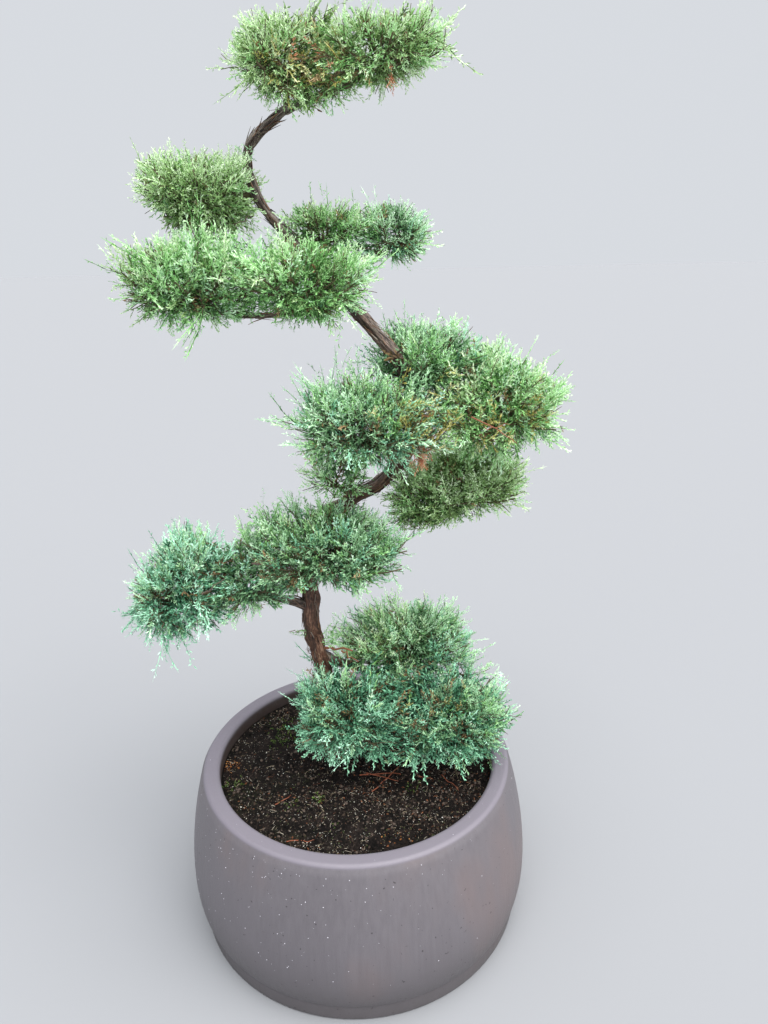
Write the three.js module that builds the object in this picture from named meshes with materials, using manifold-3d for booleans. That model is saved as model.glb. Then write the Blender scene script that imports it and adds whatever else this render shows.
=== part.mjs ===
// A juniper trained as a cloud-pruned bonsai, standing in a wide round planter.
// Sizes are in millimetres and +Z is up. The origin is the centre of the pot's flat underside,
// and -Y is the front, the side that the best view of the tree is seen from.

import * as THREE from "three";
import { mergeVertices } from "three/addons/utils/BufferGeometryUtils.js";
import Module from "manifold-3d";

const wasm = await Module();
wasm.setup();

// Pot: a squat planter that is widest low down, with a broad rounded lip and a plain foot band.
const POT_HEIGHT = 325;
const LIP_OUTER = 302;
const LIP_INNER = 269;
const LIP_EDGE = 9;
const BELLY_RADIUS = 337;
const BELLY_HEIGHT = 112;
const FOOT_RADIUS = 322;
const FOOT_HEIGHT = 36;
const FOOT_STEP = 3;
const FOOT_BEVEL = 6;
const FOOT_CURVE = 2.4;
const SHOULDER_CURVE = 1.8;
const WALL_HEIGHTS = [38, 62, 86, 112, 160, 210, 260, 295];
const INNER_HEIGHTS = [279, 236, 180, 112, 45];
const WALL = 14;
const FLOOR = 16;
const FLOOR_FILLET = 18;
const SKIRT_DEPTH = 46;
const SKIRT_BLEND = 74;
const TURNS = 28;

// Soil: fills the pot to just under the lip, flat round the trunk and hollowed a little at the wall.
const SOIL_TOP = 302;
const SOIL_FLAT = 165;
const SOIL_DIP = 5;
const FIT_GAP = 0.3;

// Trunk: its bends from the soil to the tip, where each is a point on the centre line.
const TRUNK_FOOT = [-36, 34];
const TRUNK_BENDS = [
  [-40, 32, 372],
  [-58, 20, 470],
  [-72, 8, 570],
  [-76, 2, 668],
  [-66, 2, 765],
  [-46, 18, 824],
  [4, 34, 846],
  [66, 40, 880],
  [104, 34, 930],
  [124, 18, 1005],
  [108, 0, 1082],
  [60, -5, 1146],
  [10, -4, 1200],
  [-34, 10, 1244],
  [-78, 20, 1298],
  [-118, 19, 1348],
  [-134, 14, 1396],
  [-126, 6, 1432],
  [-96, 1, 1457],
  [-60, 0, 1479],
  [-20, 1, 1492],
  [26, 4, 1508],
];
const TRUNK_FOOT_RADIUS = 18.5;
const TRUNK_TIP_RADIUS = 5.5;
const TRUNK_TAPER = 0.62;
const FLARE = 15;
const FLARE_HEIGHT = 26;
const FLARE_LOBES = 4;
const TRUNK_SIDES = 8;
const TRUNK_RINGS = 42;

// Boughs: thickness as a share of the trunk's where they leave it, and how they enter their mass.
const BOUGH_SHARE = 0.66;
const BOUGH_TIP_SHARE = 0.6;
const BOUGH_ENTRY = 0.78;
const BOUGH_DROP = 0.85;
const BOUGH_SIDES = 5;
const BOUGH_RINGS = 5;

// Foliage: each mass keeps to a domed space about its centre.
// reach is its half width, half depth, rise and drop, and lean tips it about the front-to-back axis.
// from is the height on the trunk that carries it. Where a bough leads from there to the mass,
// arch is how far the bough bows upward as a share of its length.
const MASSES = [
  { name: "top_left", centre: [-66, -8, 1543], reach: [100, 112, 66, 66], lean: 3, from: 1476 },
  { name: "top_right", centre: [78, 10, 1554], reach: [122, 116, 56, 56], lean: -8, from: 1506 },
  { name: "high_left", centre: [-222, 30, 1366], reach: [116, 120, 66, 66], lean: 2, from: 1362 },
  { name: "high_mid", centre: [-24, 34, 1304], reach: [84, 94, 52, 48], lean: -6, from: 1292 },
  { name: "high_right", centre: [88, 62, 1298], reach: [84, 94, 54, 52], lean: 0, from: 1238, arch: 0.05 },
  { name: "mid_left", centre: [-242, -58, 1236], reach: [128, 126, 80, 78], lean: -4, from: 1196, arch: -0.05 },
  { name: "mid_right", centre: [-52, -62, 1232], reach: [130, 120, 70, 70], lean: 0, from: 1236 },
  { name: "right_upper", centre: [150, 22, 1090], reach: [110, 110, 80, 76], lean: 14, from: 1070 },
  { name: "right_outer", centre: [270, 8, 1028], reach: [124, 120, 90, 88], lean: 12, from: 1004, arch: -0.04 },
  { name: "right_front", centre: [30, -98, 1020], reach: [122, 114, 86, 84], lean: 2, from: 958, arch: 0.05 },
  { name: "right_under", centre: [212, 104, 852], reach: [154, 124, 80, 76], lean: -6, from: 904, arch: -0.08 },
  { name: "right_tuft", centre: [-6, -74, 918], reach: [68, 64, 40, 38], lean: 0, from: 848, arch: 0 },
  { name: "low_main", centre: [-38, -56, 790], reach: [156, 128, 84, 80], lean: -3, from: 752 },
  { name: "low_left", centre: [-184, -44, 732], reach: [102, 106, 74, 70], lean: -12, from: 702, arch: 0.12 },
  { name: "low_outer", centre: [-310, -58, 728], reach: [136, 114, 90, 92], lean: -34, from: 648, arch: 0.1 },
  { name: "base_back", centre: [108, 96, 518], reach: [172, 120, 86, 84], lean: 4, from: 548, arch: -0.06 },
  { name: "base_left", centre: [-14, -44, 456], reach: [120, 116, 86, 82], lean: 0, from: 440 },
  { name: "base_right", centre: [178, -26, 424], reach: [152, 130, 92, 88], lean: 6, from: 508, arch: -0.08 },
];
const LUMP = 0.08;
const LUMP_SHIFT = 1.7;
const DOME_POWER = 2.5;
const CELL_GAP = 1;
const HEART_PEAK = 0.9;
const HEART_VALLEY = 0.6;
const HEART_DETAIL = 3;
const HEART_MARGIN = 4;
const STEM_REACH = 0.45;
const TWIG_SPACING = 156;
const TWIG_RADIUS = 4;
const TWIG_LEVELS = [0.9, -0.7];
const TWIG_SPAN = [0.2, 0.72];
const SPRAY_ANGLES = [16, 50];
const SPRAY_ROOTS = [0.6, 0.55];
const SPRAY_LENGTH = 0.75;
const SPRAY_WIDTH = 0.56;
const SPRAY_THICKNESS = 0.13;
const SPRAY_TEETH = 4;
const SPRAY_NOTCH = 0.5;
const SPRAY_SHRINK = 0.93;
const SPRAY_TRIES = 12;
const LIMB_CLEARANCE = 2.5;

const FIRST_SEED = 1709;
const TRUNK_SAMPLES = 160;
const BOUGH_SAMPLES = 24;

const UP = new THREE.Vector3(0, 0, 1);
const FRONT_TO_BACK = new THREE.Vector3(0, 1, 0);
const GOLDEN_ANGLE = Math.PI * (3 - Math.sqrt(5));
const vector = (p) => new THREE.Vector3(...p);

const material = (color, roughness) => new THREE.MeshStandardMaterial({ color, roughness, metalness: 0 });
const MATERIALS = {
  pot: material(0x8c8084, 0.62),
  soil: material(0x2c231d, 0.95),
  bark: material(0x5d4638, 0.9),
  foliage: material(0x5f8f6d, 0.8),
};

// A repeatable stream of numbers from 0 to 1.
function seeded(seed) {
  let state = seed >>> 0;
  return () => {
    state = (state + 0x6d2b79f5) >>> 0;
    let t = Math.imul(state ^ (state >>> 15), 1 | state);
    t = (t + Math.imul(t ^ (t >>> 7), 61 | t)) ^ t;
    return ((t ^ (t >>> 14)) >>> 0) / 4294967296;
  };
}

// A closed geometry as a solid that can be joined and cut.
function solid(geometry) {
  const bare = geometry.clone();
  bare.deleteAttribute("normal");
  bare.deleteAttribute("uv");
  const merged = mergeVertices(bare, 1e-3);
  return new wasm.Manifold(
    new wasm.Mesh({
      numProp: 3,
      vertProperties: new Float32Array(merged.attributes.position.array),
      triVerts: new Uint32Array(merged.index.array),
    }),
  );
}

// The solid's largest piece as a geometry, which drops any scrap that a cut left loose.
function geometryOf(shape) {
  const pieces = shape.decompose().sort((a, b) => b.volume() - a.volume());
  const mesh = pieces[0].getMesh();
  const geometry = new THREE.BufferGeometry();
  geometry.setAttribute("position", new THREE.BufferAttribute(new Float32Array(mesh.vertProperties), 3));
  geometry.setIndex(new THREE.BufferAttribute(new Uint32Array(mesh.triVerts), 1));
  geometry.computeVertexNormals();
  return geometry;
}

// Points of a quarter turn from angle a to b about a corner's centre.
function arc(centreRadius, centreHeight, radius, a, b, steps) {
  return Array.from({ length: steps + 1 }, (_, i) => {
    const angle = THREE.MathUtils.degToRad(a + ((b - a) * i) / steps);
    return [centreRadius + radius * Math.cos(angle), centreHeight + radius * Math.sin(angle)];
  });
}

// Radius of the pot's outer wall above the foot: full at the belly, drawn in to the foot and the lip.
function outerWall(height) {
  if (height < BELLY_HEIGHT) {
    const below = (BELLY_HEIGHT - height) / (BELLY_HEIGHT - FOOT_HEIGHT);
    return BELLY_RADIUS - (BELLY_RADIUS - FOOT_RADIUS - FOOT_STEP) * below ** FOOT_CURVE;
  }
  const above = (height - BELLY_HEIGHT) / (POT_HEIGHT - BELLY_HEIGHT);
  return BELLY_RADIUS - (BELLY_RADIUS - LIP_OUTER) * above ** SHOULDER_CURVE;
}

// Radius of the pot's inner wall: upright under the lip, then a wall's thickness inside the outer one.
function innerWall(height) {
  const skirtFoot = POT_HEIGHT - SKIRT_DEPTH;
  if (height > skirtFoot) return LIP_INNER;
  const eased = THREE.MathUtils.smoothstep(skirtFoot - height, 0, SKIRT_BLEND);
  return THREE.MathUtils.lerp(LIP_INNER, outerWall(Math.max(height, FOOT_HEIGHT)) - WALL, eased);
}

const lathe = (profile) =>
  new THREE.LatheGeometry(profile.map(([r, z]) => new THREE.Vector2(r, z)), TURNS).rotateX(Math.PI / 2);

function pot() {
  const profile = [
    [0, FLOOR],
    [0, 0],
    [FOOT_RADIUS - FOOT_BEVEL, 0],
    [FOOT_RADIUS, FOOT_BEVEL],
    [FOOT_RADIUS, FOOT_HEIGHT],
    ...WALL_HEIGHTS.map((z) => [outerWall(z), z]),
    ...arc(LIP_OUTER - LIP_EDGE, POT_HEIGHT - LIP_EDGE, LIP_EDGE, 10, 90, 3),
    ...arc(LIP_INNER + LIP_EDGE, POT_HEIGHT - LIP_EDGE, LIP_EDGE, 90, 180, 3),
    ...INNER_HEIGHTS.map((z) => [innerWall(z), z]),
    [innerWall(FLOOR) - FLOOR_FILLET, FLOOR],
    [0, FLOOR],
  ];
  return lathe(profile);
}

// The soil follows the pot's inner wall a small gap inside it.
function soil() {
  const gap = 2 * FIT_GAP;
  const profile = [
    [0, FLOOR + FIT_GAP],
    [innerWall(FLOOR) - FLOOR_FILLET - gap, FLOOR + FIT_GAP],
    ...INNER_HEIGHTS.toReversed().map((z) => [innerWall(z) - gap, z]),
    [LIP_INNER - gap, SOIL_TOP - SOIL_DIP],
    [(LIP_INNER + SOIL_FLAT) / 2, SOIL_TOP - SOIL_DIP * 0.8],
    [SOIL_FLAT, SOIL_TOP],
    [0, SOIL_TOP],
  ];
  return lathe(profile);
}

// A round limb: a cylinder bent along a curve, with its own radius at each point and angle.
// A limb that stands on the ground is cut off level at its foot.
function limbGeometry(curve, radiusAt, sides, rings, foot) {
  const geometry = new THREE.CylinderGeometry(1, 1, 1, sides, rings);
  const frames = curve.computeFrenetFrames(rings, false);
  const place = geometry.attributes.position;
  for (let i = 0; i < place.count; i++) {
    const along = place.getY(i) + 0.5;
    const ring = Math.round(along * rings);
    const angle = Math.atan2(place.getZ(i), place.getX(i));
    const radius = radiusAt(along, angle);
    const point = curve
      .getPointAt(along)
      .addScaledVector(frames.normals[ring], place.getX(i) * radius)
      .addScaledVector(frames.binormals[ring], -place.getZ(i) * radius);
    place.setXYZ(i, point.x, point.y, ring === 0 && foot !== undefined ? foot : point.z);
  }
  return geometry;
}

const trunkBase = SOIL_TOP + FIT_GAP;
const trunkCurve = new THREE.CatmullRomCurve3(
  [[...TRUNK_FOOT, trunkBase], ...TRUNK_BENDS].map(vector),
  false,
  "centripetal",
);

// The trunk swells at the soil, where a few root lobes stand out of it.
function trunkRadius(along, angle) {
  const height = trunkCurve.getPointAt(along).z - trunkBase;
  const taper = TRUNK_TIP_RADIUS + (TRUNK_FOOT_RADIUS - TRUNK_TIP_RADIUS) * (1 - along) ** TRUNK_TAPER;
  const lobes = 1 + 0.3 * Math.cos(FLARE_LOBES * angle + 0.6);
  return taper + FLARE * lobes * Math.exp(-height / FLARE_HEIGHT);
}

// The trunk, or the same shape grown all round by a clearance for cutting its neighbours.
function trunkGeometry(grow = 0) {
  const radiusAt = (along, angle) => trunkRadius(along, angle) + grow;
  return limbGeometry(trunkCurve, radiusAt, TRUNK_SIDES, TRUNK_RINGS, trunkBase - grow);
}

// How far along the trunk a height lies. The trunk climbs all the way, so halving finds it.
function trunkAlong(height) {
  let low = 0;
  let high = 1;
  while (high - low > 1e-4) {
    const middle = (low + high) / 2;
    if (trunkCurve.getPointAt(middle).z < height) low = middle;
    else high = middle;
  }
  return (low + high) / 2;
}

// A mass's own space.
function makeSpace(mass, index) {
  const centre = vector(mass.centre);
  const lean = THREE.MathUtils.degToRad(mass.lean);
  const [width, depth, rise, drop] = mass.reach;
  const shift = index * LUMP_SHIFT;
  const lump = (d) => {
    const broad = Math.sin(3.4 * d.x + shift) * Math.cos(2.9 * d.y - shift);
    const fine = Math.sin(4.6 * d.x - 3.8 * d.y + shift);
    return 1 + LUMP * (broad + 0.6 * fine);
  };
  // Distance from the centre to the domed surface in a direction.
  const surface = (direction) => {
    const d = direction.clone().applyAxisAngle(FRONT_TO_BACK, -lean);
    const height = d.z > 0 ? rise : drop;
    const shares = [d.x / width, d.y / depth, d.z / height].map((share) => Math.abs(share) ** DOME_POWER);
    return lump(direction) / (shares[0] + shares[1] + shares[2]) ** (1 / DOME_POWER);
  };
  return { centre, surface, walls: [] };
}

const spaces = MASSES.map(makeSpace);

// Two neighbouring spaces are parted by a flat wall, nearer the smaller one.
spaces.forEach((a) =>
  spaces.forEach((b) => {
    if (a === b) return;
    const normal = b.centre.clone().sub(a.centre);
    const distance = normal.length();
    normal.normalize();
    const ownReach = a.surface(normal);
    const otherReach = b.surface(normal.clone().negate());
    a.walls.push({ normal, at: (distance * ownReach) / (ownReach + otherReach) - CELL_GAP });
  }),
);

// How far the walls let a space reach from its centre in a direction.
function wallReach(space, direction) {
  return space.walls.reduce((reach, wall) => {
    const facing = wall.normal.dot(direction);
    return facing > 1e-3 ? Math.min(reach, wall.at / facing) : reach;
  }, Infinity);
}

const reachOf = (space, direction) => Math.min(space.surface(direction), wallReach(space, direction));

function holds(space, point) {
  const offset = point.clone().sub(space.centre);
  const distance = offset.length();
  return distance < 1e-6 || distance <= reachOf(space, offset.divideScalar(distance));
}

// The bough that leads to a mass: out of the trunk, bowed a little, and in from below.
function boughCurve(mass, space) {
  const start = trunkCurve.getPointAt(trunkAlong(mass.from));
  const entry = start.clone().sub(space.centre).setZ(0).normalize();
  entry.addScaledVector(UP, -BOUGH_DROP).normalize();
  const end = space.centre.clone().addScaledVector(entry, reachOf(space, entry) * BOUGH_ENTRY);
  const middle = start.clone().lerp(end, 0.5);
  middle.z += end.distanceTo(start) * mass.arch * 2;
  return new THREE.QuadraticBezierCurve3(start, middle, end);
}

const boughs = new Map();
MASSES.forEach((mass, i) => {
  if (mass.arch === undefined) return;
  const curve = boughCurve(mass, spaces[i]);
  const root = trunkRadius(trunkAlong(mass.from), 0) * BOUGH_SHARE;
  const tip = root * BOUGH_TIP_SHARE;
  const radiusAt = (along) => THREE.MathUtils.lerp(root, tip, Math.sqrt(along));
  boughs.set(mass.name, { curve, tip, radiusAt });
});

function boughSolid(bough, grow = 0) {
  return solid(limbGeometry(bough.curve, (t) => bough.radiusAt(t) + grow, BOUGH_SIDES, BOUGH_RINGS));
}

// Points along every limb with its thickness there, for keeping foliage clear of the wood.
const limbPoints = [];
function addLimbPoints(curve, radiusAt, samples) {
  for (let i = 0; i <= samples; i++) {
    limbPoints.push({ point: curve.getPointAt(i / samples), radius: radiusAt(i / samples) });
  }
}
addLimbPoints(trunkCurve, (along) => trunkRadius(along, 0), TRUNK_SAMPLES);
for (const bough of boughs.values()) addLimbPoints(bough.curve, bough.radiusAt, BOUGH_SAMPLES);
const clearOfLimbs = (point) =>
  limbPoints.every((limb) => limb.point.distanceTo(point) > limb.radius + LIMB_CLEARANCE);

// Turns a shape that points up so that it points along a direction, with its flat face outward.
function aim(geometry, root, direction, outward) {
  const across = direction.clone().cross(outward);
  if (across.length() < 1e-3) across.set(1, 0.2, 0).cross(direction);
  across.normalize();
  const turn = new THREE.Matrix4().makeBasis(across, direction.clone().cross(across), direction);
  return geometry.applyMatrix4(turn).translate(root.x, root.y, root.z);
}

// A spray of needles: a flat blade with pointed teeth all round it, thickest along its middle.
function sprayGeometry(root, direction, outward, length) {
  const blade = new THREE.SphereGeometry(1, 2 * SPRAY_TEETH, 2);
  const place = blade.attributes.position;
  for (let i = 0; i < place.count; i++) {
    const angle = Math.atan2(place.getZ(i), -place.getX(i));
    const side = Math.round(place.getY(i));
    const tooth = Math.cos(SPRAY_TEETH * angle) > 0 ? 1 : SPRAY_NOTCH;
    const out = side === 0 ? tooth : 0;
    place.setXYZ(
      i,
      out * Math.sin(angle) * length * SPRAY_WIDTH * 0.5,
      side * length * SPRAY_THICKNESS * 0.5,
      (1 + out * Math.cos(angle)) * length * 0.5,
    );
  }
  return aim(blade, root, direction, outward);
}

const cornersOf = (geometry) => {
  const place = geometry.attributes.position;
  return Array.from({ length: place.count }, (_, i) => new THREE.Vector3().fromBufferAttribute(place, i));
};

// The dense heart of a mass: a ball drawn out into short peaks, inside the space's surface and walls.
function heartGeometry(space, random) {
  const ball = new THREE.IcosahedronGeometry(1, HEART_DETAIL);
  ball.deleteAttribute("normal").deleteAttribute("uv");
  const heart = mergeVertices(ball);
  const place = heart.attributes.position;
  for (let i = 0; i < place.count; i++) {
    const direction = new THREE.Vector3().fromBufferAttribute(place, i).normalize();
    const share = THREE.MathUtils.lerp(HEART_VALLEY, HEART_PEAK, random() ** 2);
    const reach = Math.min(space.surface(direction) * share, wallReach(space, direction) - HEART_MARGIN);
    const point = space.centre.clone().addScaledVector(direction, reach);
    place.setXYZ(i, point.x, point.y, point.z);
  }
  return heart;
}

const trunkCutter = solid(trunkGeometry(FIT_GAP));
const wideTrunkCutter = solid(trunkGeometry(LIMB_CLEARANCE));

// A short stem from the bough's tip, or out of the trunk, to the heart of the mass.
function stemSolid(mass, space) {
  const bough = boughs.get(mass.name);
  const heading = new THREE.Vector3();
  const start = new THREE.Vector3();
  let radius = TWIG_RADIUS * 2;
  if (bough) {
    heading.copy(bough.curve.getTangentAt(1));
    start.copy(bough.curve.getPointAt(1)).addScaledVector(heading, FIT_GAP);
    radius = bough.tip;
  } else {
    start.copy(trunkCurve.getPointAt(trunkAlong(mass.from)));
    heading.copy(space.centre).sub(start).normalize();
  }
  const towards = space.centre.clone().sub(start);
  const length = Math.max(towards.dot(heading), space.surface(heading) * STEM_REACH);
  const stem = new THREE.CylinderGeometry(radius * 0.7, radius, length, BOUGH_SIDES, 1);
  stem.rotateX(Math.PI / 2).translate(0, 0, length / 2);
  return solid(aim(stem, start, heading, UP));
}

// The foliage of a mass: a ragged heart on its stem, and twigs that carry sprays out of it.
function massGeometry(mass, index) {
  const space = spaces[index];
  const random = seeded(FIRST_SEED + index);
  const [width, depth, rise, drop] = mass.reach;
  const area = Math.PI * (width * depth + ((width + depth) / 2) * (rise + drop));
  const twigs = Math.round(area / TWIG_SPACING ** 2);
  const fits = (geometry) => cornersOf(geometry).every((p) => holds(space, p) && clearOfLimbs(p));
  let shape = solid(heartGeometry(space, random)).subtract(wideTrunkCutter);
  for (const [name, bough] of boughs) {
    if (name !== mass.name) shape = shape.subtract(boughSolid(bough, LIMB_CLEARANCE));
  }
  shape = shape.add(stemSolid(mass, space));
  for (let i = 0; i < twigs; i++) {
    // Even places over the dome, each turned a little from the last.
    const level = THREE.MathUtils.lerp(TWIG_LEVELS[0], TWIG_LEVELS[1], (i + 0.5) / twigs);
    const turn = i * GOLDEN_ANGLE + random() * 0.6;
    const flat = Math.sqrt(1 - level * level);
    const outward = new THREE.Vector3(flat * Math.cos(turn), flat * Math.sin(turn), level);
    outward.multiply(new THREE.Vector3(width, depth, level > 0 ? rise : drop)).normalize();
    const reach = reachOf(space, outward);
    const at = (share) => space.centre.clone().addScaledVector(outward, reach * share);
    const twigLength = at(TWIG_SPAN[0]).distanceTo(at(TWIG_SPAN[1]));
    const twig = new THREE.CylinderGeometry(TWIG_RADIUS * 0.4, TWIG_RADIUS, twigLength, 3, 1);
    twig.rotateX(Math.PI / 2).translate(0, 0, twigLength / 2);
    aim(twig, at(TWIG_SPAN[0]), outward, UP);
    if (fits(twig)) shape = shape.add(solid(twig));
    const across = outward.clone().cross(UP).normalize();
    SPRAY_ANGLES.forEach((spread, k) => {
      const direction = outward.clone().applyAxisAngle(across, THREE.MathUtils.degToRad(spread));
      direction.applyAxisAngle(outward, (random() - 0.5) * Math.PI * 2);
      for (let tries = 0; tries < SPRAY_TRIES; tries++) {
        const length = SPRAY_LENGTH * reach * SPRAY_SHRINK ** tries;
        const blade = sprayGeometry(at(SPRAY_ROOTS[k]), direction, outward, length);
        if (!fits(blade)) continue;
        shape = shape.add(solid(blade));
        break;
      }
    });
  }
  shape = shape.subtract(trunkCutter);
  for (const bough of boughs.values()) shape = shape.subtract(boughSolid(bough, FIT_GAP * 0.9));
  return geometryOf(shape);
}

// Each bough grows out of the trunk's side, past any bough that was made before it.
function boughGeometry(name) {
  let shape = boughSolid(boughs.get(name)).subtract(trunkCutter);
  for (const [other, bough] of boughs) {
    if (other === name) break;
    shape = shape.subtract(boughSolid(bough, FIT_GAP));
  }
  return geometryOf(shape);
}

const bonsai = new THREE.Group();
function addPiece(name, geometry, finish) {
  const mesh = new THREE.Mesh(geometry, finish);
  mesh.name = name;
  bonsai.add(mesh);
}

addPiece("pot", pot(), MATERIALS.pot);
addPiece("soil", soil(), MATERIALS.soil);
addPiece("trunk", trunkGeometry(), MATERIALS.bark);
for (const name of boughs.keys()) addPiece(`bough_${name}`, boughGeometry(name), MATERIALS.bark);
MASSES.forEach((mass, i) => addPiece(`foliage_${mass.name}`, massGeometry(mass, i), MATERIALS.foliage));

export default bonsai;
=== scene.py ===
import math

import bpy
import numpy as np
from mathutils import Matrix, Vector, noise


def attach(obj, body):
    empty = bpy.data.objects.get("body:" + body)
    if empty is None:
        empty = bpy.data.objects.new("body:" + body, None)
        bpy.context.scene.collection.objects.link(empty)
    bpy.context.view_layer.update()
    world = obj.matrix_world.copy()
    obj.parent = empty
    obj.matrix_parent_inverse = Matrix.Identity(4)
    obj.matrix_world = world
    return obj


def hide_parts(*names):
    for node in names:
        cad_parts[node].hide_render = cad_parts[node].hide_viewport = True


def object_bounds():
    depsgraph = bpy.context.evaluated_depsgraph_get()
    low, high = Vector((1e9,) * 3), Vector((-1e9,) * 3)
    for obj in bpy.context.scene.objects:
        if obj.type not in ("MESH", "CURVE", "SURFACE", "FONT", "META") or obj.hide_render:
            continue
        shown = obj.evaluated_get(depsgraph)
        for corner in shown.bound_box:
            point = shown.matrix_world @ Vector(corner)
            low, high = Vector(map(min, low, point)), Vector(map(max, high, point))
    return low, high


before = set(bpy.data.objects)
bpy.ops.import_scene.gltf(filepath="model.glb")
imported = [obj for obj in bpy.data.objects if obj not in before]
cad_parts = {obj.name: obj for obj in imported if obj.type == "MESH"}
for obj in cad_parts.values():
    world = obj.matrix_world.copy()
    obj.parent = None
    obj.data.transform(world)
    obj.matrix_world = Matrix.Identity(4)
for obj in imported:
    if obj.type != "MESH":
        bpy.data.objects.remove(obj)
CAD_BOX = [list(corner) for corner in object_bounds()]

MM = 0.001

# The view: a phone camera held at chest height, tipped down and a little to one side.
IMAGE_HEIGHT = 1024
FOCAL_PIXELS = 765
SENSOR_WIDTH = 36
CAMERA_PLACE = (0.06566, -1.28102, 1.298)
CAMERA_TILT = math.radians(19.95)
CAMERA_ROLL = math.radians(1.23)

# Light: a pale sky all round and soft lamps, each with the way it shines, its power, how many degrees
# wide it is and its tint.
SKY_STRENGTH = 0.8
SKY_TINT = "#eef2f8"
FLOOR_SIZE = 60
FLOOR_TINT = "#929498"
LAMPS = [
    ("overhead_lamp", (-0.12, 0.25, -1), 3.8, 60, (1, 0.985, 0.965)),
    ("front_lamp", (-0.1, 1, -0.75), 0.82, 80, (0.97, 0.985, 1)),
    ("right_lamp", (-1, 0.5, -0.7), 1.4, 50, (1, 0.965, 0.915)),
]

# Pot, in millimetres, as are all sizes and places from here on.
POT_HEIGHT = 325
LIP_OUTER = 302
LIP_INNER = 269
LIP_EDGE = 9
LIP_CREST = 285
LIP_CROWN = 0.3
BELLY_RADIUS = 337
BELLY_HEIGHT = 112
FOOT_RADIUS = 322
FOOT_HEIGHT = 36
FOOT_STEP = 3
FOOT_BEVEL = 6
FOOT_CURVE = 2.4
FOOT_GROOVE = 1.4
SHOULDER_CURVE = 1.8
WALL = 14
FLOOR = 16
SKIRT_DEPTH = 46
SKIRT_BLEND = 74
POT_SIDES = 160

# Where the pot's finish changes, in metres: the radius of its inner wall, and the heights under the lip,
# up to where painted shade darkens the lower wall, and on top of the lip, which painted light makes paler.
# Each runs from none to full.
INNER_WALL = (0.2755, 0.2705)
UNDER_LIP = (0.3225, 0.311)
LOW_WALL_SHADE = (0.17, 0)
LIT_LIP_TOP = (0.3165, 0.3225)

# Rain drops: how many on the wall and on the lip, how far below the top and over what height the first lie,
# how far out the others, and one drop's shape, as each ring's radius and height and the height of its top.
WALL_DROPS = 210
LIP_DROPS = 12
DROPS_FROM = 14
DROPS_OVER = 230
LIP_DROP_RADII = (280, 291)
DROP_SIDES = 8
DROP_RINGS = ((1, -0.15), (0.75, 0.4))
DROP_TOP = 0.65
# The drops are opaque; their pale tint is a painted reflection of the sky.
DROP_GLINT_TINT = "#b5b3bb"

# Soil.
SOIL_FOOT = 240
SOIL_TOP = 302
SOIL_DIP = 5
SOIL_EDGE = 268.3
SOIL_SIDES = 160
SOIL_RINGS = 56

# What lies on the soil: the kind, its tints, its shortest and longest size, its breadth and thickness as
# shares of that, and its heaps, each with its number, middle and spread. A heap with only a number lies
# all over the soil.
LITTER = [
    ("crumbs", ("#0c0a09", "#1a1614", "#2c2522", "#40362f", "#584d46"), (2, 9), (0.8, 0.7), [(5200,)]),
    (
        "flecks", ("#847d70", "#aaa496", "#dad7ce", "#667149", "#9a988f"), (1.2, 4), (0.5, 0.35),
        [(3300,), (260, (60, -120), 60), (150, (-70, -215), 40), (160, (-215, 40), 40)],
    ),
    (
        "chips", ("#4d2f1e", "#6d4430", "#8b5c42", "#3d2a1d"), (2.5, 9), (0.45, 0.25),
        [(520,), (110, (200, -80), 45), (70, (70, -60), 40)],
    ),
    ("stones", ("#eceae4", "#cfcbc2", "#b9bcae"), (1.5, 4), (0.8, 0.7), [(90,), (14, (-70, -228), 22)]),
    (
        "debris", ("#9a6138", "#b57f4c", "#7c4a2c"), (2, 6), (0.6, 0.3),
        [(56, (-252, -4), 11), (18, (78, -218), 14)],
    ),
]
LITTER_SHAPES = 8
STRAND_TINTS = ("#70614f", "#a4977f", "#cdc4b1", "#653f2d")
STRAND_GIRTHS = (0.35, 0.4, 0.3, 0.2)
STRANDS = 300

# Red-brown twigs on the soil: each end's place and height above it, and the radius at the start.
SOIL_TWIGS = [
    ((7, -45, 1), (88, -48, 3), 1.3),
    ((20, -42, 2), (82, -66, 2), 1.1),
    ((31, -92, 1), (84, -30, 5), 1.2),
    ((168, -50, 2), (196, -92, 1), 0.9),
    ((-150, -120, 1), (-122, -100, 2), 1.1),
    ((-118, -214, 1), (-70, -212, 1), 1.0),
    ((120, -52, 2), (150, -60, 1), 1.0),
]
SOIL_TWIG_TINT = "#8f523b"

# Weeds: their middle, spread, number and length.
WEEDS = [
    ((-162, 95), 22, 44, 11),
    ((-128, 134), 18, 26, 10),
    ((-150, 60), 16, 18, 9),
    ((-64, -113), 4, 9, 13),
    ((-238, -62), 11, 22, 9),
    ((-120, -122), 9, 14, 7),
    ((110, -90), 8, 12, 8),
    ((-40, -180), 12, 10, 6),
    ((40, -200), 20, 14, 5),
]
WEED_TINTS = ("#34491a", "#4c6b25", "#73973c")

# Trunk: its bends from the soil to the tip.
TRUNK_BENDS = [
    (-36, 34, 302.3), (-40, 32, 372), (-58, 20, 470), (-72, 8, 570), (-76, 2, 668), (-66, 2, 765),
    (-46, 18, 824), (4, 34, 846), (66, 40, 880), (104, 34, 930), (124, 18, 1005), (108, 0, 1082),
    (60, -5, 1146), (10, -4, 1200), (-34, 10, 1244), (-78, 20, 1298), (-118, 19, 1348),
    (-134, 14, 1396), (-126, 6, 1432), (-96, 1, 1457), (-60, 0, 1479), (-20, 1, 1492), (26, 4, 1508),
]
TRUNK_FOOT_RADIUS = 18.5
TRUNK_TIP_RADIUS = 4.8
TRUNK_TAPER = 0.85
TRUNK_RINGS = 96
FLARE = 15
FLARE_HEIGHT = 26
FLARE_LOBES = 4
FLARE_RIDGE = 0.26

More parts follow.
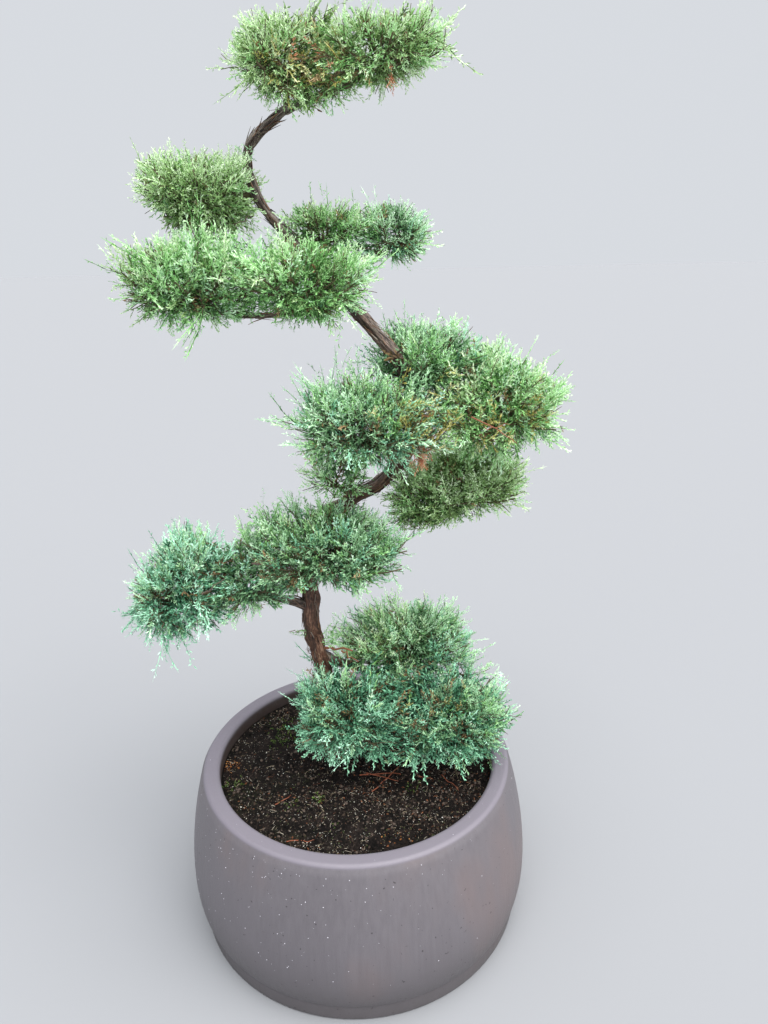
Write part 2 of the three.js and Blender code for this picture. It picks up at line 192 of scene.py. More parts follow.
# Bark: kinks in each metre of a limb, how far up it they set in, in metres, and their size as a share of
# its radius. Then its strips, ribs and knots: how fine they are round a limb and along it, where their
# noise begins, how low it may go, and how high they stand as a share of the limb's radius.
KINKS = 17
KINK_START = 0.05
KINK_SHARE = 0.5
BARK_RIDGES = [(4.2, 26, (0, 0), -2, 0.2), (1.7, 9, (5, 0), -2, 0.22), (0.9, 30, (0, 7), -0.1, 0.45)]
BARK_SWIRL = 4.0
BARK_SINK = 0.05

# Loose fibres of bark: their tints, their radii from root to tip, how many there are in each metre of a
# limb, and the shortest and longest in metres.
FIBRE_TINTS = ("#2e201a", "#5f4335", "#8c6a52", "#8f857b")
FIBRE_GIRTHS = (0.9, 0.8, 0.6, 0.25)
FIBRES_PER_METRE = 420
FIBRE_LENGTHS = (0.008, 0.03)

# Boughs: their radius where they leave, as a share of the trunk's, and at their tip, as a share of that,
# how deep in its mass the tip lies, how steeply it enters, and their rings.
BOUGH_SHARE = 0.66
BOUGH_TIP_SHARE = 0.6
BOUGH_ENTRY = 0.78
BOUGH_DROP = 0.85
BOUGH_RINGS = 18

# Foliage: each mass's name, the pad that it is part of, its centre, its reach (half width, half depth,
# rise, drop), its lean in degrees, the height on the trunk that carries it, how far its bough bows
# upward, the look of its sprays, and how many shades paler they are than most, partly painted light
# and shade for how well the mass is lit.
MASSES = [
    ("top_left", "top", (-66, -8, 1543), (100, 112, 66, 66), 3, 1476, None, "fresh", 0.85),
    ("top_right", "top", (78, 10, 1554), (122, 116, 56, 56), -8, 1506, None, "fresh", 0.85),
    ("high_left", "high_left", (-222, 30, 1366), (116, 120, 66, 66), 2, 1362, None, "fresh", 0.6),
    ("high_mid", "high_right", (-24, 34, 1304), (84, 94, 52, 48), -6, 1292, None, "soft", 0.6),
    ("high_right", "high_right", (88, 62, 1298), (84, 94, 54, 52), 0, 1238, 0.05, "dusty", 0.8),
    ("mid_left", "mid", (-242, -58, 1236), (128, 126, 80, 78), -4, 1196, -0.05, "soft", 0.58),
    ("mid_right", "mid", (-52, -62, 1232), (130, 120, 70, 70), 0, 1236, None, "soft", 0.02),
    ("right_upper", "right", (150, 22, 1090), (110, 110, 80, 76), 14, 1070, None, "dusty", 0.05),
    ("right_outer", "right", (270, 8, 1028), (124, 120, 90, 88), 12, 1004, -0.04, "soft", 0.82),
    ("right_front", "right", (30, -98, 1020), (122, 114, 86, 84), 2, 958, 0.05, "dusty", 0),
    ("right_under", "right", (212, 104, 852), (154, 124, 80, 76), -6, 904, -0.08, "fresh", 0.5),
    ("right_tuft", "right", (-6, -74, 918), (68, 64, 40, 38), 0, 848, 0, "soft", 0.45),
    ("low_main", "low", (-38, -56, 790), (156, 128, 84, 80), -3, 752, None, "dusty", -0.2),
    ("low_left", "low", (-184, -44, 732), (102, 106, 74, 70), -12, 702, 0.12, "dusty", 0.36),
    ("low_outer", "low", (-310, -58, 728), (136, 114, 90, 92), -34, 648, 0.1, "sea", 0.42),
    ("base_back", "base", (108, 96, 518), (172, 120, 86, 84), 4, 548, -0.06, "dusty", 0.3),
    ("base_left", "base", (-14, -44, 456), (120, 116, 86, 82), 0, 440, None, "sea", -0.1),
    ("base_right", "base", (178, -26, 424), (152, 130, 92, 88), 6, 508, -0.08, "sea", -0.1),
]

# Where each pad differs from its domes: the place, how far around it that holds, how much further out the
# sprays reach there as a share of the dome, and, where some of them take another look, that look and how
# many do.
SPOTS = {
    "top": [
        (-160, -49, 1534, 50, -0.16), (175, -88, 1590, 70, -0.18),
        (-24, -108, 1525, 46, -0.04, "olive", 0.95), (-110, -123, 1571, 45, -0.14),
        (-16, -110, 1545, 30, -0.06, "rust", 0.45), (8, -20, 1552, 60, 0.22),
        (110, -80, 1560, 80, 0, "soft", 0.7), (-58, -40, 1484, 45, 0.3), (-20, -55, 1482, 45, 0.35),
        (30, -50, 1492, 45, 0.12, "dead", 0.4),
    ],
    "high_left": [
        (-206, -2, 1304, 80, 0.36), (-132, -45, 1395, 42, 0.22), (-335, -10, 1366, 60, -0.15),
    ],
    "mid": [
        (-190, -142, 1306, 75, 0.24), (-385, -60, 1236, 105, -0.36),
        (-300, -130, 1262, 60, 0, "fresh", 0.5), (-162, -185, 1215, 30, -0.16, "dead", 0.5),
        (-209, -150, 1174, 45, 0.14), (-112, -160, 1180, 34, -0.3, "dead", 0.6), (-32, -150, 1175, 40, 0.2),
        (-95, -150, 1290, 40, -0.12),
    ],
    "high_right": [
        (-73, -7, 1293, 50, 0.15), (119, 7, 1258, 34, 0.28), (50, -34, 1270, 30, -0.12),
    ],
    "right": [
        (110, -184, 1071, 44, -0.04, "olive", 0.6), (128, -110, 972, 34, -0.2, "dead", 0.4),
        (41, -215, 1019, 30, -0.2, "dead", 0.3), (154, -50, 985, 60, 0.4),
        (146, -110, 1030, 48, 0.3, "olive", 0.4), (172, -115, 1007, 40, 0.24, "olive", 0.25),
        (266, -84, 978, 46, 0.3), (188, 20, 935, 55, 0.3), (215, -40, 1100, 50, 0.15),
        (140, 60, 795, 50, 0.3), (112, -10, 870, 50, 0.4), (100, 30, 810, 50, 0.4), (240, 10, 930, 60, 0.3),
        (255, -90, 1000, 55, -0.05, "olive", 0.6), (310, -60, 1040, 40, 0, "olive", 0.45),
        (280, -30, 1100, 70, 0, "dusty", 0.5), (240, -100, 985, 34, -0.08, "dead", 0.3),
    ],
    "low": [
        (-270, -140, 660, 60, 0.34), (-410, -90, 745, 80, -0.36), (-420, -110, 680, 55, -0.24),
        (92, -120, 850, 45, 0.2), (-205, -110, 800, 42, -0.42), (-120, -130, 775, 34, -0.26, "dead", 0.45),
        (109, -144, 819, 50, -0.12), (-130, -20, 850, 55, 0.3), (-286, -95, 832, 45, 0.34),
        (-343, -71, 808, 42, -0.26), (-212, -90, 843, 34, -0.26),
    ],
    "base": [
        (123, -75, 523, 42, -0.2, "dead", 0.92), (-26, -84, 534, 30, -0.15, "dead", 0.65),
        (174, -82, 508, 34, 0, "olive", 0.95), (94, -10, 541, 60, 0.14), (75, 10, 490, 65, 0.3),
        (70, -50, 470, 55, 0.2), (0, -60, 372, 65, 0.34), (225, -75, 470, 85, 0, "dusty", 0.75),
        (255, -91, 498, 45, 0, "soft", 0.5), (6, -40, 552, 42, 0, "soft", 0.75),
        (19, 31, 591, 55, 0, "fresh", 0.7), (123, 81, 610, 60, 0, "fresh", 0.5),
        (130, -146, 480, 26, -0.1, "dead", 0.4), (-30, -22, 551, 40, 0.2),
    ],
}

# Long pale shoots: the mass, the place where they leave it, the way they point, their number and length.
WHIPS = [
    ("top_right", (158, -80, 1545), (0.9, -0.3, -0.2), 6, 42),
    ("top_left", (-112, -67, 1500), (-0.3, -0.6, -0.9), 8, 36),
    ("top_left", (21, -85, 1588), (0, -0.2, 1), 4, 55),
    ("high_right", (56, -35, 1330), (0, -0.2, 1), 4, 45),
    ("high_mid", (-10, -43, 1340), (-0.2, -0.2, 1), 3, 50),
    ("mid_left", (-285, -120, 1262), (-1, -0.25, 0.14), 9, 75),
    ("mid_left", (-176, -136, 1311), (-0.2, -0.2, 1), 5, 70),
    ("mid_left", (-209, -150, 1170), (-0.4, -0.5, -0.6), 5, 60),
    ("mid_right", (20, -140, 1180), (0.1, -0.6, -0.8), 5, 40),
    ("right_front", (19, -127, 1100), (0.2, -0.2, 1), 5, 50),
    ("right_front", (-60, -140, 1080), (-0.8, -0.2, 0.6), 6, 50),
    ("right_outer", (352, -60, 1060), (1, -0.2, 0.4), 4, 40),
    ("low_outer", (-345, -140, 695), (-1, -0.3, -0.1), 9, 60),
    ("low_outer", (-290, -150, 660), (-0.1, -0.5, -1), 5, 60),
    ("base_left", (-30, -140, 440), (-0.5, -0.8, -0.1), 4, 70),
    ("base_back", (160, 60, 600), (0.6, -0.2, 0.8), 5, 65),
]

# Tufts of their own: the look, the middle, the way they hang, how many sprays, how far apart their roots
# lie, and their length.
TUFTS = [
    ("rust", (127, -100, 986), (0.1, -0.5, -1), 22, 6, 26),
    ("rust", (124, -100, 966), (0, -0.5, -1), 26, 7, 26),
    ("rust", (88, -55, 1508), (0.2, -0.3, -1), 9, 5, 18),
    ("soft", (-46, -14, 588), (0.6, -0.5, 0.5), 16, 9, 36),
    ("soft", (-84, -6, 600), (-0.7, -0.5, 0.4), 4, 3, 30),
    ("dusty", (-120, 8, 1410), (-0.5, -0.6, 0.4), 5, 4, 26),
]

# Bare twigs: the kind, where they start and end, and their radius at the start.
BARE_TWIGS = [
    ("pale", (-70, 0, 598), (-118, -12, 604), 1.8),
    ("red", (-62, 8, 556), (-4, -18, 566), 3.2),
    ("red", (-20, -14, 562), (8, -36, 552), 1.8),
    ("red", (205, -112, 1028), (280, -112, 986), 1.3),
    ("red", (225, -116, 1012), (262, -120, 1016), 1),
    ("red", (150, -150, 1050), (120, -150, 1030), 1.2),
    ("grey", (-158, -104, 784), (-80, -104, 768), 2),
    ("grey", (-128, -110, 778), (-112, -120, 800), 1.3),
    ("grey", (-100, 10, 735), (-66, 2, 690), 3),
    ("grey", (-240, -130, 742), (-200, -120, 765), 1.5),
    ("grey", (-128, 2, 1330), (-150, -30, 1318), 1.6),
    ("grey", (-100, 8, 1452), (-112, -14, 1440), 2.2),
    ("grey", (88, 0, 1110), (104, -40, 1124), 2),
    ("grey", (128, 4, 1000), (160, -24, 980), 3),
]
BARE_TINTS = {"pale": "#b3a898", "red": "#8a5a42", "grey": "#5d5148"}

# Domes: how lumpy they are, how square, how far apart different pads keep, and how tightly one pad's
# domes keep to themselves.
LUMP = 0.08
LUMP_SHIFT = 1.7
DOME_POWER = 2.5
CELL_GAP = 1
PAD_BLEND = 5.5
EDGE_LUMP = 0.17
EDGE_WAVES = (52, 47, 44)

# Clumps, the lobes of a dome: the places tried for each dome, how far apart clumps lie and how wide they
# are, in metres, how far they stand out, how much less they do beside their middles, and how deep in them
# the branches end, as a share of the way to the dome's centre and at most, in metres.
CLUMP_PLACES = 500
CLUMP_SPACING = 0.044
CLUMP_RADIUS = 0.036
CLUMP_PEAKS = (0.86, 1.12)
CLUMP_VALLEY = 0.19
CLUMP_DEPTHS = (0.3, 0.46)
DEEPEST_CLUMP = 0.046

# Wood and sprays: radii in millimetres, and the shortest and longest of each kind in metres. What has to be
# drawn in below its least length is left out.
STEM_RADIUS = 6
BRANCH_GIRTHS = (2.8, 1.1)
BRANCH_RINGS = 6
TWIGS_ON_BRANCH = 7
TWIG_GIRTHS = (1.1, 0.5)
TWIG_LENGTHS = (0.03, 0.06)
SPRAYS_ON_TWIG = 5
SPRAY_LENGTHS = (0.034, 0.06)
INNER_LENGTHS = (0.025, 0.045)
INNERS_PER_AREA = 4600
LEAST_TWIG = 0.012
LEAST_SPRAY = 0.014
LEAST_WHIP = 0.03
WHIP_SHARE = 0.22
LIMB_CLEARANCE = 2.5
BOX_MARGIN = 0.01
FIT_TRIES = 9
FIT_SHRINK = 0.88
FIRST_SEED = 1709
SPRIG_SEED = 4

UP = np.array([0.0, 0.0, 1.0])
GOLDEN_ANGLE = math.pi * (3 - math.sqrt(5))

# The noise that kinks the limbs would differ from run to run without a seed.
noise.seed_set(FIRST_SEED)


# Finishes.
def paint(code):
    """A colour's code as the linear colour that a shader takes."""
    parts = [int(code[k : k + 2], 16) / 255 for k in (1, 3, 5)]
    return (*[c / 12.92 if c < 0.04045 else ((c + 0.055) / 1.055) ** 2.4 for c in parts], 1)


class Value:
    """A node's output. Python's operators on it add Math nodes."""

    def __init__(self, finish, output):
        self.finish, self.output = finish, output

    def math(self, operation, other):
        return self.finish.node("ShaderNodeMath", {"operation": operation}, {0: self, 1: other})[0]

    def __add__(self, other):
        return self.math("ADD", other)

    def __mul__(self, other):
        return self.math("MULTIPLY", other)

    def __pow__(self, other):
        return self.math("POWER", other)


class Finish:
    """A material in the making. Its colours are given as codes."""

    def __init__(self, name):
        self.material = bpy.data.materials.new(name)
        self.material.use_nodes = True
        self.tree = self.material.node_tree
        self.shader = self.tree.nodes["Principled BSDF"]

    def node(self, kind, settings, values):
        """Adds a node: its settings first, then the value or link of each socket. Gives its outputs."""
        made = self.tree.nodes.new(kind)
        for name, setting in settings.items():
            setattr(made, name, setting)
        for name, value in values.items():
            self.join(value, made.inputs[name])
        return [Value(self, output) for output in made.outputs]

    def join(self, value, socket):
        """Feeds a socket with a node's output, a colour's code or a plain value."""
        if isinstance(value, Value):
            self.tree.links.new(value.output, socket)
        else:
            socket.default_value = paint(value) if isinstance(value, str) else value

    def surface(self, colour, roughness, **others):
        """Feeds the shader's own sockets."""
        self.join(colour, self.shader.inputs["Base Color"])
        self.join(roughness, self.shader.inputs["Roughness"])
        for name, value in others.items():
            self.join(value, self.shader.inputs[name.replace("_", " ")])

    def stretched(self, vector, scale):
        return self.node("ShaderNodeMapping", {}, {0: vector, 3: scale})[0]

    def place(self, scale=(1, 1, 1)):
        """The object's own coordinates in metres, stretched along each axis."""
        return self.stretched(self.node("ShaderNodeTexCoord", {}, {})[3], scale)

    def speckle(self, vector, scale, detail=4.0, roughness=0.55):
        """Cloudy noise from 0 to 1."""
        return self.node("ShaderNodeTexNoise", {}, {0: vector, 2: scale, 3: detail, 4: roughness})[0]

    def ramp(self, value, *stops):
        """A colour for each share of a value."""
        colour = self.node("ShaderNodeValToRGB", {}, {0: value})[0]
        elements = colour.output.node.color_ramp.elements
        while len(elements) < len(stops):
            elements.new(0.5)
        for element, (place, code) in zip(elements, stops):
            element.position, element.color = place, paint(code)
        return colour

    def step(self, value, low, high):
        """0 below low, 1 above high, and smooth between."""
        settings = {"interpolation_type": "SMOOTHSTEP"}
        return self.node("ShaderNodeMapRange", settings, {0: value, 1: low, 2: high})[0]

    def blend(self, share, first, second, way="MIX"):
        settings = {"data_type": "RGBA", "blend_type": way, "clamp_factor": True}
        return self.node("ShaderNodeMix", settings, {0: share, 6: first, 7: second})[2]

    def layered(self, colour, *layers):
        """A colour with others laid over it in turn, each by its share."""
        for share, code in layers:
            colour = self.blend(share, colour, code)
        return colour

    def bump(self, height, depth, strength=1.0):
        return self.node("ShaderNodeBump", {}, {0: strength, 1: depth, 3: height})[0]


def pot_finish():
    """Matt taupe plastic with fine upright streaks, dust, a few stains and a dirtier inner wall, with painted
    shade towards its foot and painted light on the top of its lip.
    """
    finish = Finish("taupe_plastic")
    streaks = finish.speckle(finish.place((1, 1, 0.035)), 150, 5, 0.6)
    broad = finish.speckle(finish.place((1, 1, 0.5)), 5, 3)
    grain = finish.speckle(finish.place(), 900, 2)
    dust = finish.speckle(finish.place(), 60, 6, 0.7)
    specks = finish.speckle(finish.place(), 170, 0)
    x, y, z = finish.node("ShaderNodeSeparateXYZ", {}, {0: finish.place()})
    inside = finish.step((x * x + y * y) ** 0.5, *INNER_WALL) * finish.step(z, *UNDER_LIP)
    mixed = streaks * 0.45 + broad * 0.4 + grain * 0.15
    colour = finish.layered(
        finish.ramp(mixed, (0.3, "#5c585d"), (0.5, "#656166"), (0.7, "#6d696e")),
        (finish.step(broad, 0.52, 0.72) * 0.3, "#765f58"),
        (finish.step(dust, 0.62, 0.78) * 0.35, "#544d4b"),
        # painted shade: the wall grows darker towards the foot, dappled by the dust noise
        (finish.step(z, *LOW_WALL_SHADE) * (dust * 0.5 + 0.45), "#4a4647"),
        (finish.step(specks, 0.8, 0.84) * 0.7, "#2f292b"),
        # painted light: the top of the lip is paler and bluer, as the sky lights it
        (finish.step(z, *LIT_LIP_TOP) * (dust * 0.1 + 0.9), "#78737d"),
        (inside * (dust * 0.8 + 0.35), "#44352c"),
    )
    roughness = finish.step(streaks, 0.25, 0.8) * 0.14 + 0.44
    finish.surface(colour, roughness, Normal=finish.bump(grain * 0.6 + streaks * 0.5, 0.0006, 0.5))
    return finish.material


def soil_finish():
    """Dark damp compost."""
    finish = Finish("damp_compost")
    lumps = finish.speckle(finish.place(), 45, 6, 0.65)
    crumbs = finish.speckle(finish.place(), 260, 5, 0.7)
    patches = finish.speckle(finish.place(), 9, 3)
    mossy = finish.step(patches, 0.55, 0.72) * finish.step(crumbs, 0.45, 0.65) * 0.6
    mixed = lumps * 0.4 + crumbs * 0.6
    tone = finish.ramp(mixed, (0.36, "#060505"), (0.47, "#13100f"), (0.58, "#2a2320"), (0.7, "#524741"))
    relief = finish.bump(lumps * 0.5 + crumbs, 0.006)
    colour = finish.blend(mossy, tone, "#2f3a1b")
    finish.surface(colour, crumbs * 0.2 + 0.75, Specular_IOR_Level=0.12, Normal=relief)
    return finish.material


def bark_finish():
    """Red-brown bark that peels in long strips; its young bark is pale grey in patches and on its upper side,
    partly weathering and partly painted light from above.
    """
    finish = Finish("juniper_bark")
    grain, sky, age = (
        finish.node("ShaderNodeAttribute", {"attribute_name": name}, {})[output]
        for name, output in (("grain", 1), ("sky", 2), ("age", 2))
    )
    strips = finish.speckle(finish.stretched(grain, (1, 1, 0.09)), 170, 6, 0.65)
    flakes = finish.speckle(finish.stretched(grain, (1, 1, 0.3)), 420, 4, 0.6)
    patches = finish.speckle(grain, 22, 3)
    mixed = strips * 0.6 + flakes * 0.4
    old = finish.ramp(mixed, (0.36, "#150d0a"), (0.46, "#412a20"), (0.55, "#6f4a37"), (0.66, "#a98a72"))
    young = finish.ramp(mixed, (0.36, "#171312"), (0.46, "#423a35"), (0.56, "#6c645e"), (0.66, "#a7a19b"))
    ruddy = finish.blend(finish.step(patches, 0.55, 0.7) * 0.75, old, "#9a5b38", "OVERLAY")
    # pale grey in patches and on raised strips: weathering, plus painted light where the bark faces up
    weathered_and_lit = finish.step(sky * 0.6 + patches * 0.7, 0.55, 0.95) * finish.step(mixed, 0.4, 0.52) * 0.7
    colour = finish.blend(age, finish.blend(weathered_and_lit, young, "#b0aaa4"), ruddy)
    finish.surface(colour, mixed * 0.2 + 0.72, Normal=finish.bump(mixed, 0.004))
    return finish.material


def plain_finish(name, code, roughness=0.62, shine=0.35):
    """One plain tint. Small parts vary by the many tints that are dealt out among them."""
    finish = Finish(name)
    finish.surface(code, roughness, Specular_IOR_Level=shine)
    return finish.material


def plain_finishes(name, codes, *how):
    return [plain_finish(f"{name}_{k}", code, *how) for k, code in enumerate(codes)]


# Camera, floor and light.
def set_camera():
    side, down = Vector((1, 0, 0)), Vector((0, -math.sin(CAMERA_TILT), -math.cos(CAMERA_TILT)))
    ahead = Vector((0, math.cos(CAMERA_TILT), -math.sin(CAMERA_TILT)))
    cosine, sine = math.cos(CAMERA_ROLL), math.sin(CAMERA_ROLL)
    axes = [side * cosine + down * sine, side * sine - down * cosine, -ahead]
    turn = Matrix([[axis[row] for axis in axes] for row in range(3)])
    bpy.ops.object.camera_add(location=CAMERA_PLACE, rotation=turn.to_euler())
    camera = bpy.context.object
    camera.data.sensor_width = SENSOR_WIDTH
    camera.data.lens = SENSOR_WIDTH * FOCAL_PIXELS / IMAGE_HEIGHT
    bpy.context.scene.camera = camera


def set_studio():
    bpy.ops.mesh.primitive_plane_add(size=FLOOR_SIZE)
    floor = bpy.context.object
    floor.name = "floor"
    floor.data.materials.append(plain_finish("pale_floor", FLOOR_TINT, 0.9, 0.5))
    world = bpy.data.worlds.new("studio")
    world.use_nodes = True
    background = world.node_tree.nodes["Background"]
    background.inputs[0].default_value = paint(SKY_TINT)
    background.inputs[1].default_value = SKY_STRENGTH
    bpy.context.scene.world = world
    for name, heading, power, softness, tint in LAMPS:
        turn = Vector(heading).to_track_quat("-Z", "Y").to_euler()
        bpy.ops.object.light_add(type="SUN", rotation=turn)
        lamp = bpy.context.object
        lamp.name = name
        lamp.data.energy, lamp.data.color = power, tint
        lamp.data.angle = math.radians(softness)
    bpy.context.scene.view_settings.view_transform = "Standard"


# Modelling.
def finish_piece(name, material, slot, *nodes):
    """Settles the piece in hand at the origin, and says what it is and stands for."""
    piece = bpy.context.object
    bpy.ops.object.transform_apply(location=True, rotation=True, scale=True)
    piece.name = piece.data.name = name
    piece.data.materials.append(material)
    enter(piece, slot, *nodes)


def enter(piece, slot, *nodes):
    """Says which body a piece rides on and the solids that it replaces; its slot is not used."""
    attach(piece, "root")
    if nodes:
        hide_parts(*nodes)


def leave_shape():
    """Turns the faces of the shape in hand outwards and ends its editing."""
    bpy.ops.mesh.select_all(action="SELECT")
    bpy.ops.mesh.normals_make_consistent(inside=False)
    bpy.ops.object.mode_set(mode="OBJECT")


def draw_rings(profile, sides, start="NGON"):
    """A round shape: a disc, or an open ring, drawn out along its profile of radius and height."""
    (radius, height), *rings = profile
    place = (0, 0, height * MM)
    bpy.ops.mesh.primitive_circle_add(vertices=sides, radius=radius * MM, fill_type=start, location=place)
    bpy.ops.object.mode_set(mode="EDIT")
    bpy.ops.mesh.select_all(action="SELECT")
    for next_radius, next_height in rings:
        lift = (0, 0, (next_height - height) * MM)
        bpy.ops.mesh.extrude_region_move(TRANSFORM_OT_translate={"value": lift})
        share = next_radius / radius
        bpy.ops.transform.resize(value=(share, share, 1), center_override=(0, 0, next_height * MM))
        radius, height = next_radius, next_height
    if start == "NOTHING":
        bpy.ops.mesh.edge_face_add()
    leave_shape()


def quarter(centre_radius, centre_height, radius, low, high, steps):
    """Points of a rounded edge between two angles."""
    for i in range(steps + 1):
        angle = math.radians(low + (high - low) * i / steps)
        yield centre_radius + radius * math.cos(angle), centre_height + radius * math.sin(angle)


def outer_wall(height):
    """The pot's radius at a height, the largest at its belly."""
    if height < BELLY_HEIGHT:
        below = (BELLY_HEIGHT - height) / (BELLY_HEIGHT - FOOT_HEIGHT)
        return BELLY_RADIUS - (BELLY_RADIUS - FOOT_RADIUS - FOOT_STEP) * below**FOOT_CURVE
    above = (height - BELLY_HEIGHT) / (POT_HEIGHT - BELLY_HEIGHT)
    return BELLY_RADIUS - (BELLY_RADIUS - LIP_OUTER) * above**SHOULDER_CURVE


def inner_wall(height):
    """The radius inside the pot: straight down from the lip, then along the wall."""
    share = min(max((POT_HEIGHT - SKIRT_DEPTH - height) / SKIRT_BLEND, 0), 1)
    eased = share * share * (3 - 2 * share)
    return LIP_INNER + (outer_wall(max(height, FOOT_HEIGHT)) - WALL - LIP_INNER) * eased


def make_pot():
    """The planter: its foot, a groove, the wall, the rounded lip, the skirt inside and the floor."""
    groove = FOOT_RADIUS - FOOT_GROOVE
    top = POT_HEIGHT - LIP_EDGE
    profile = [
        *quarter(FOOT_RADIUS - FOOT_BEVEL, FOOT_BEVEL, FOOT_BEVEL, -90, 0, 5),
        (FOOT_RADIUS + 0.3, 20),
        (FOOT_RADIUS, FOOT_HEIGHT - 2),
        (groove, FOOT_HEIGHT - 1),
        (groove, FOOT_HEIGHT),
        (outer_wall(39) - 1, FOOT_HEIGHT + 0.8),
        *[(outer_wall(z), z) for z in np.linspace(39, top - 3, 34)],
        *quarter(LIP_OUTER - LIP_EDGE, top, LIP_EDGE, 12, 90, 8),
        (LIP_CREST, POT_HEIGHT - LIP_CROWN),
        *quarter(LIP_INNER + LIP_EDGE, top, LIP_EDGE, 90, 180, 8),
        *[(inner_wall(z), z) for z in np.linspace(top - 8, 45, 12)],
        (inner_wall(FLOOR) - 18, FLOOR),
        (40, FLOOR),
    ]
    draw_rings(profile, POT_SIDES)
    bpy.ops.object.shade_smooth_by_angle(angle=math.radians(38))
    finish_piece("planter", pot_finish(), "pot", "pot")


def flat_ways(turns):
    """Level directions at some turns about the pot's axis."""
    return np.stack([np.cos(turns), np.sin(turns), 0 * turns], axis=1)


def shape_drop():
    """A low dome of water, its rim a little below the surface that it sits on."""
    ring = flat_ways(np.arange(DROP_SIDES) * 2 * math.pi / DROP_SIDES)
    rings = [ring * radius + UP * height for radius, height in DROP_RINGS]
    points = np.vstack([*rings, UP * DROP_TOP])
    faces = []
    for k in range(DROP_SIDES):
        after = (k + 1) % DROP_SIDES
        faces += [(k, after, after + DROP_SIDES), (k, after + DROP_SIDES, k + DROP_SIDES)]
        faces += [(k + DROP_SIDES, after + DROP_SIDES, 2 * DROP_SIDES)]
    return points, np.array(faces), np.zeros(len(faces), int)


def make_drops():
    """Rain drops on the pot's wall, most of them high on its front, and a few on its lip."""
    random = np.random.default_rng(FIRST_SEED - 4)
    in_front = random.uniform(0, 1, WALL_DROPS) < 0.6
    front = random.normal(-2.0, 0.6, WALL_DROPS)
    anywhere = random.uniform(-math.pi, math.pi, WALL_DROPS)
    across = flat_ways(np.where(in_front, front, anywhere))
    heights = POT_HEIGHT - DROPS_FROM - DROPS_OVER * random.uniform(0, 1, WALL_DROPS) ** 1.5
    radii = np.array([outer_wall(z) for z in heights])
    slopes = np.array([outer_wall(z + 1) - outer_wall(z - 1) for z in heights]) / 2
    roots = across * radii[:, None] + UP * heights[:, None]
    ring = flat_ways(random.uniform(-math.pi, math.pi, LIP_DROPS))
    on_lip = ring * random.uniform(*LIP_DROP_RADII, (LIP_DROPS, 1)) + UP * POT_HEIGHT
    roots = np.vstack([roots, on_lip]) * MM
    headings = np.vstack([unit(across - UP * slopes[:, None]), np.tile(UP, (LIP_DROPS, 1))])
    sizes = (0.45 + 0.75 * random.uniform(0, 1, len(roots)) ** 2) * MM
    drops = Batch()
    drops.copies([shape_drop()], roots, headings, roots, sizes, np.zeros(len(roots), int), random)
    # pale, glossy drops: their tint paints the sky's reflection on the water
    drops.make("rain_drops", [plain_finish("rain_water_glint", DROP_GLINT_TINT, 0.1, 0.5)], "pot")


def make_soil():
    """Compost in the pot: drawn up its wall, then in ring by ring, and roughened."""
    top = SOIL_TOP - SOIL_DIP
    rings = [(SOIL_EDGE * (1 - ring / SOIL_RINGS), top) for ring in range(SOIL_RINGS)]
    draw_rings([(SOIL_EDGE, SOIL_FOOT), *rings], SOIL_SIDES, "NOTHING")
    soil = bpy.context.object
    for vertex in soil.data.vertices:
        if vertex.co.z > MM:
            vertex.co.z = soil_height(vertex.co.x, vertex.co.y) - soil.location.z
    bpy.ops.object.shade_smooth()
    finish_piece("compost", soil_finish(), "soil", "soil")


def soil_height(x, y):
    """How high the compost stands: a low crown, lumpy all over and calmer at the wall."""
    radius, edge = math.hypot(x, y), SOIL_EDGE * MM
    at = Vector((x, y, (SOIL_TOP - SOIL_DIP) * MM))
    crown = SOIL_DIP * MM * (1 - (radius / edge) ** 3)
    rough = noise.fractal(at * 38, 0.8, 2.1, 5) * 3.2 + noise.noise(at * 9) * 2.2
    fade = min(max((edge - radius) / 0.02, 0), 1)
    return at.z + crown + rough * MM * (0.35 + 0.65 * fade) - 1.5 * MM


def soil_places(random, count, centre=(0, 0), spread=None):
    """Places on the compost: in drifts all over it, or spread about a centre."""
    if spread is None:
        turns = random.uniform(0, 2 * math.pi, 2 * count)
        radii = (SOIL_EDGE - 4) * MM * np.sqrt(random.uniform(0, 1, 2 * count))
        flat = np.stack([radii * np.cos(turns), radii * np.sin(turns)], axis=1)
        drifts = [noise.noise(Vector((x, y, 0.3)) * 11) for x, y in flat]
        flat = flat[np.argsort(drifts + random.normal(0, 0.4, 2 * count))[count:]]
    else:
        flat = (np.array(centre) + random.normal(0, spread, (count, 2))) * MM
        flat *= np.minimum(1, (SOIL_EDGE - 4) * MM / np.linalg.norm(flat, axis=1))[:, None]
    return onto_soil(flat)


def onto_soil(points):
    """Points set down on the compost."""
    return np.array([(x, y, soil_height(x, y)) for x, y in points[:, :2]])


def shape_bit(random, breadth, thickness):
    """A rough bit of eight faces, its longest way up."""
    corners = np.array([(1, 0, 0), (-1, 0, 0), (0, 1, 0), (0, -1, 0), (0, 0, 1), (0, 0, -1)], float)
    corners = (corners + random.uniform(-0.35, 0.35, (6, 3))) * (breadth / 2, thickness / 2, 0.5)
    faces = [(0, 2, 4), (2, 1, 4), (1, 3, 4), (3, 0, 4), (2, 0, 5), (1, 2, 5), (3, 1, 5), (0, 3, 5)]
    return corners, np.array(faces), np.zeros(8, int)


def strew_bits(random, kind, codes, sizes, shape, heaps):
    """Bits of one kind, most of them small."""
    bits = Batch()
    templates = [shape_bit(random, *shape) for _ in range(LITTER_SHAPES)]
    for count, *where in heaps:
        places = soil_places(random, count, *where) + UP * 0.0006
        headings = unit(random.normal(0, 1, (count, 3)) * (1, 1, 0.35))
        lengths = (sizes[0] + (sizes[1] - sizes[0]) * random.uniform(0, 1, count) ** 2) * MM
        tints = random.integers(0, len(codes), count)
        bits.copies(templates, places, headings, UP, lengths, tints, random)
    bits.make(f"soil_{kind}", plain_finishes(kind, codes, 0.85, 0.12), "soil")


